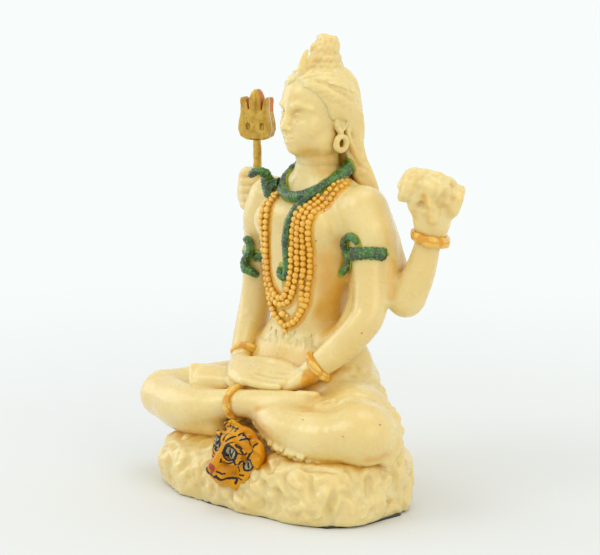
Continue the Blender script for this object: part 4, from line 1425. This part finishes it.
# %% [markdown]
# ## Snakes
# A snake lies round the neck like a collar, its hood raised at the figure's right and a second length hanging
# down the chest. Small ones make the armbands, which thin out at their far end. A bevelled curve can't carry
# scales, so each is a grid of two parameters, round and along, whose section swells and shrinks by a few
# hundredths of a millimetre in a diamond pattern.


# %% Sweeping a section along a line
def swept(name, rows, toward, material, around, relief, twist, closed=False, node="figure",
          rims=0.0):
    """An oval of half sizes rows[:, 3:5] carried along rows[:, :3]; its radius changes by relief times
    sin(m a + k s) sin(m a - k s), for the angle a around and the length s along, and by rims times cos(4 a)."""
    middle, across, up = frames(rows[:, :3], toward, closed)
    steps = np.linalg.norm(np.roll(middle, -1, 0) - middle, axis=1)
    s = np.concatenate([[0], np.cumsum(steps)[:-1]])[:, None]
    a = np.linspace(0, 2 * np.pi, around, endpoint=False)[None, :]
    if closed:
        twist = np.round(twist * s[-1, 0] / (2 * np.pi)) * 2 * np.pi / (s[-1, 0] + steps[-1])
    pattern = np.sin(3 * a + twist * s / 2) * np.sin(3 * a - twist * s / 2)
    outside = middle[:, None] + 0.8 * (np.cos(a)[..., None] * across[:, None] + np.sin(a)[..., None] * up[:, None])
    lumpy = 0.05 * lumps(outside.reshape(-1, 3), 2.6, 7).reshape(pattern.shape)
    size = 1 + relief * pattern + lumpy * (1.6 if rims else 1) - rims * np.cos(4 * a)
    half_h = rows[:, 4:5] if rows.shape[1] > 4 else rows[:, 3:4]
    section = np.stack([rows[:, 3:4] * np.cos(a) * size, half_h * np.sin(a) * size], -1)
    points, faces = carried((middle, across, up), section, closed)
    if rims:
        crease = ramp(-lumpy, 0.0, 0.07) + ramp(np.cos(4 * a) + 0 * pattern, 0.3, 1.0)
    else:
        crease = min(12 * relief, 1) * ramp(-pattern, 0.1, 0.9)
    crease = np.concatenate([crease.ravel(), np.zeros(len(points) - crease.size)])
    edging = ramp(FULL["near"].at(points), 0.15, 0.4) if material == snake_paint else 0 * crease
    return piece(name, points, faces, material, {"crease": crease, "green": edging}, node)


def ring_rows(ring, wide, thick):
    """A closed line with one half width and half thickness all along."""
    return np.concatenate([ring, np.full((len(ring), 1), wide), np.full((len(ring), 1), thick)], 1)


def closed_line(ring, count):
    """A ring drawn again with more points, through every fourth one and back to the first."""
    return curve(np.concatenate([ring[::4], ring[:1]]), count)[:-1]


# %% The snakes
collar = curve(COLLAR[::4], 361)[:-1]
swept("snake_collar", ring_rows(collar, 1.42, 1.35), (0, 0, 1), snake_paint, around=28, relief=0.08, twist=7.5,
      closed=True)
for name, line, count in (("snake_strand", STRAND, 240), ("snake_hood", HOOD, 170), ("snake_hood_root", HOOD_ROOT, 60)):
    rows = curve(line, count)
    ends = np.minimum(1, np.sqrt(1 - np.clip(1 - np.arange(count) / 7, 0, 1) ** 2 + 1e-4))
    tail = ends[::-1]
    width = rows[:, 3] * ends * tail
    thick = (rows[:, 4] if rows.shape[1] > 4 else rows[:, 3]) * ends * tail
    swept(name, np.stack([*rows[:, :3].T, width, thick], 1), (1, 0.3, 0.2), snake_paint, around=26, relief=0.1,
          twist=6.5)
for name, ring in ARMBANDS.items():
    dense = closed_line(ring, 201)
    rows = ring_rows(dense, 1.8, 1.0)
    rows[:, 3:] *= 1 - 0.75 * ramp((dense - dense.mean(0)) @ FAR_SIDE, 3.5, 4.5)[:, None]
    swept(name, rows, (0, 0, 1), snake_paint, around=28, relief=0.12, twist=4.5, closed=True)
for name, line in CURLS.items():
    rows = curve(line, 130)
    ends = np.sqrt(1 - np.clip(1 - np.arange(130) / 6, 0, 1) ** 2 + 1e-4)
    width = rows[:, 3] * ends * ends[::-1]
    swept(name, np.stack([*rows[:, :3].T, width, 0.95 * width], 1), (0, 1, 0.1), snake_paint, around=24, relief=0.1,
          twist=6.5)

# %% Bangles and earrings
for name, ring in BANGLES.items():
    wide, thick = (1.45, 1.15) if name == "bangle_drum" else (1.15, 0.95)
    swept(name, ring_rows(closed_line(ring, 241), wide, thick), (0, 0, 1), gold_resin, around=24, relief=0.03,
          twist=3.0, closed=True, rims=0.07)
for name, s in (("earring_left", 1), ("earring_right", -1)):
    turn = np.radians(np.linspace(0, 360, 97))[:-1]
    ring = np.array([face_point(s * (9.0 + 0.25 * np.cos(t)), -1.9 - 1.65 * np.sin(t), 80.3 + 1.85 * np.cos(t))
                     for t in turn])
    swept(name, ring_rows(ring, 0.85, 0.78), (1, 0, 0), resin, around=20, relief=0.0, twist=5, closed=True)

# %% [markdown]
# ## Strings of beads
# Some two hundred small beads hang in long loops. Laid in clay they would melt into a rope. So they are one
# mesh: one shape, eight sides by five rings, copied as an array to every place and sunk a little into the chest.


# %% Beads along their strings
SIDES, RINGS = 8, 5


def beads(name, places, sizes, outs, material):
    """Copies of one small round form: places + size * form, turned so that its pole looks along outs, each
    with its own slight change of size. The depth mask is how far a point looks away from outs."""
    a = np.linspace(0, 2 * np.pi, SIDES + 1)[:-1]
    b = np.linspace(0, np.pi, RINGS + 2)[1:-1]
    rings = np.stack([np.outer(np.sin(b), np.cos(a)), np.outer(np.sin(b), np.sin(a)),
                      np.outer(np.cos(b), np.ones(SIDES))], -1)
    form = np.concatenate([rings.reshape(-1, 3), [[0, 0, 1], [0, 0, -1]]])
    i, j = np.meshgrid(np.arange(RINGS - 1), np.arange(SIDES), indexing="ij")
    low, high, beside = i * SIDES, (i + 1) * SIDES, (j + 1) % SIDES
    quads = np.stack([low + j, high + j, high + beside, low + beside], -1).reshape(-1, 4)
    j, last = np.arange(SIDES), (RINGS - 1) * SIDES
    caps = np.concatenate([np.stack([np.full(SIDES, len(form) - 2), j, (j + 1) % SIDES], 1),
                           np.stack([np.full(SIDES, len(form) - 1), last + (j + 1) % SIDES, last + j], 1)])
    outs = unit(outs)
    side = unit(np.cross(outs, [0.02, 0.03, 1.0]))
    up = np.cross(outs, side)
    x, y, z = (form[None, :, k:k + 1] for k in range(3))
    placed = x * side[:, None] + y * up[:, None] + z * outs[:, None]
    points = (places[:, None] + sizes[:, None, None] * placed).reshape(-1, 3)
    shift = (np.arange(len(places)) * len(form))[:, None, None]
    faces = [(quads[None] + shift).reshape(-1, 4), (caps[None] + shift).reshape(-1, 3)]
    depth = np.tile(ramp(-form[:, 2], -0.85, 0.35), len(places))
    return piece(name, points, faces, material, {"crease": depth})


chance = np.random.RandomState(3)
rows = []
for line, size in zip(STRINGS, (0.98, 0.98, 0.96, 0.94)):
    rows += [[*place, size * (1 - 0.2 * float(ramp(place[2], 60, 68)) * (place[0] > 2))]
             for place in evenly(line, 1.66 * size)]
rows += [[-0.3, 1.3, 34.2, 1.1], [0.2, 1.4, 29.3, 0.85], [1.2, 1.4, 33.8, 0.6], [-1.6, 1.4, 33.9, 0.6],
         [0.1, 1.5, 27.9, 0.55]]
rows = np.array(rows)
rows[:, :3] += chance.normal(scale=0.07, size=(len(rows), 3))
outs = np.stack([rows[:, 0] * 0.06, -np.ones(len(rows)), 0.05 * np.ones(len(rows))], 1)
beads("strings_of_beads", rows[:, :3], rows[:, 3] * chance.uniform(0.9, 1.1, len(rows)), outs, bead_resin)
print(len(rows), "beads")

# %% [markdown]
# ## The metal trident
# The real one is cast apart and pushed through the fist, so it takes the place of a solid of its own. Its gilt
# is worn to the bare metal at the rims, which masks on its points tell the material.

# %% The trident's head and rod
points, faces = trident.skin()
x, y, z = points.T
dimples = [along_line(points, [[s * 2.1, f * 1.9, 3.4], [s * 2.1, f * 1.9, 4.2]], 0.45, 0.35)
           for s in (-1, 1) for f in (-1, 1)]
at_rod = ramp(-z, -0.5, -0.1) * (np.abs(x) < 1.6)
front_rim = ramp(-np.abs(y + 1.5), -0.34, -0.08) * ramp(x, 3.9, 4.3) * 0.62
back_rim = 0.4 * ramp(-np.abs(y - 1.5), -0.3, -0.08) * ramp(x, 3.9, 4.4)
side_face = ramp(np.abs(normals(points, faces)[:, 0]), 0.5, 0.9)
marks = {"crease": np.max(dimples + [at_rod], axis=0), "white": front_rim + back_rim,
         "orange": side_face * ramp(z, 7.5, 8.5)}
piece("trident_head", points @ TRIDENT_TURN.T + TRIDENT_PLACE, faces, gilt, marks, "trident")
rod = np.linspace(-14.4, 14.9, 150)
ROD_RADIUS = 1.17
rod_rows = np.stack([GRIP[0] + 0 * rod, GRIP[1] + 0 * rod, GRIP[2] + rod, ROD_RADIUS + 0.03 * np.sin(1.1 * rod),
                     ROD_RADIUS + 0.03 * np.cos(0.8 * rod)], 1)
swept("trident_rod", rod_rows, (1, 0, 0), gilt, around=28, relief=0.0, twist=2.0, node="trident")
print("triangles in all", sum(TOTAL.values()))

# %% [markdown]
# ## Stage, light and camera
# The photograph is taken on white, in soft light from the upper left and front. A plain floor would end in a
# grey horizon, so it is one wide disc that turns into the backdrop's own brightness far out. Four square lights
# stand round the figure: a key, one at the side, a warmer fill and one above. The camera stands at the figure's
# left front, a little above its middle, with a long lens.

# %% The floor
BACKDROP = (0.939, 0.982, 0.973, 1)
SPOKES = 96
a = np.radians(np.linspace(0, 360, SPOKES + 1))[:-1]
radii = np.array([0.02, 0.06, 0.12, 0.2, 0.35, 0.6, 1.0, 2.0, 6.0])  # metres
floor_points = np.concatenate([[[0, 0, 0]], np.stack([np.outer(radii, np.cos(a)), np.outer(radii, np.sin(a)),
                                                      0 * np.outer(radii, a)], -1).reshape(-1, 3)])
i, j = np.meshgrid(np.arange(len(radii) - 1), np.arange(SPOKES), indexing="ij")
inner, outer, beside = 1 + i * SPOKES, 1 + (i + 1) * SPOKES, (j + 1) % SPOKES
ring_faces = np.stack([inner + j, outer + j, outer + beside, inner + beside], -1)
hub = np.stack([np.zeros(SPOKES, int), 1 + np.arange(SPOKES), 1 + (np.arange(SPOKES) + 1) % SPOKES], 1)
mesh = bpy.data.meshes.new("floor")
mesh.from_pydata(floor_points.tolist(), [], hub.tolist() + ring_faces.reshape(-1, 4).tolist())
floor = shown("floor", mesh)
ground, tree, shader = new_material("pale_floor", Base_Color=(0.76, 0.775, 0.78, 1), Roughness=0.9)
shader.inputs["Specular IOR Level"].default_value = 0.1
place = place_in(tree)
distance = node(tree, "VectorMath", {0: place}, operation="LENGTH").outputs["Value"]
glow = node(tree, "Emission", {"Color": BACKDROP, "Strength": 1.0})
blend = node(tree, "MixShader", {0: spread_out(tree, distance, 0.04, 0.36)})
tree.links.new(shader.outputs["BSDF"], blend.inputs[1])
tree.links.new(glow.outputs["Emission"], blend.inputs[2])
tree.links.new(blend.outputs["Shader"], tree.nodes["Material Output"].inputs["Surface"])
mesh.materials.append(ground)
print("floor", len(mesh.polygons), "faces")

# %% The light and the backdrop
world = bpy.data.worlds.new("white studio")
bpy.context.scene.world = world
world.use_nodes = True
tree = world.node_tree
tree.nodes.clear()
seen = node(tree, "Background", {"Color": BACKDROP, "Strength": 1.0})
lit = node(tree, "Background", {"Color": (0.98, 1.0, 0.98, 1), "Strength": 0.86})
rays = node(tree, "LightPath").outputs["Is Camera Ray"]
choice = node(tree, "MixShader", {0: rays})
tree.links.new(lit.outputs[0], choice.inputs[1])
tree.links.new(seen.outputs[0], choice.inputs[2])
output = tree.nodes.new("ShaderNodeOutputWorld")
tree.links.new(choice.outputs[0], output.inputs["Surface"])


def soft_box(name, place, aim, size, watts, colour=(1, 1, 1)):
    """A square area light of a size in metres, turned so that its -Z looks at aim."""
    data = bpy.data.lights.new(name, "AREA")
    data.shape, data.size, data.energy, data.color = "SQUARE", size, watts, colour
    lamp = shown(name, data)
    lamp.location = place
    back = unit(np.array(place) - np.array(aim))
    across = unit(np.cross((0, 0, 1.0), back))
    lamp.matrix_world = matrix_of(across, np.cross(back, across), back, place)
    return lamp


def matrix_of(x, y, z, place):
    """A 4 x 4 matrix with three directions and a place as its columns."""
    rows = np.eye(4)
    rows[:3, 0], rows[:3, 1], rows[:3, 2], rows[:3, 3] = x, y, z, place
    return Matrix(rows.tolist())


middle = (0.0, 0.0, 0.06)
soft_box("key light", (-0.35, -0.75, 0.75), middle, 0.5, 1.7, (0.99, 1.0, 0.94))
soft_box("side light", (-0.9, -0.3, 0.35), middle, 0.6, 1.3)
soft_box("fill light", (0.85, -0.15, 0.4), middle, 0.6, 1.5, (1.0, 0.86, 0.58))
soft_box("top light", (0.05, 0.1, 0.95), middle, 0.6, 1.2)
print(len(bpy.data.lights), "lights")

# %% The camera
AROUND, ABOVE, DISTANCE = np.radians(45), np.radians(9.6), 0.55
LENS, SENSOR = 122.2, 36.0  # mm
back = np.array([np.sin(AROUND) * np.cos(ABOVE), -np.cos(AROUND) * np.cos(ABOVE), np.sin(ABOVE)])
target = np.array([0.0052 * np.cos(AROUND), 0.0052 * np.sin(AROUND), 0.0593])
data = bpy.data.cameras.new("camera")
data.lens, data.sensor_width, data.clip_start, data.clip_end = LENS, SENSOR, 0.01, 50.0
camera = shown("camera", data)
across = np.array([np.cos(AROUND), np.sin(AROUND), 0.0])
camera.matrix_world = matrix_of(across, np.cross(back, across), back, target + back * DISTANCE)
bpy.context.scene.camera = camera
bpy.context.scene.view_settings.view_transform = "Standard"
bpy.context.scene.view_settings.look = "None"
print("camera at", [round(float(v), 3) for v in camera.location])
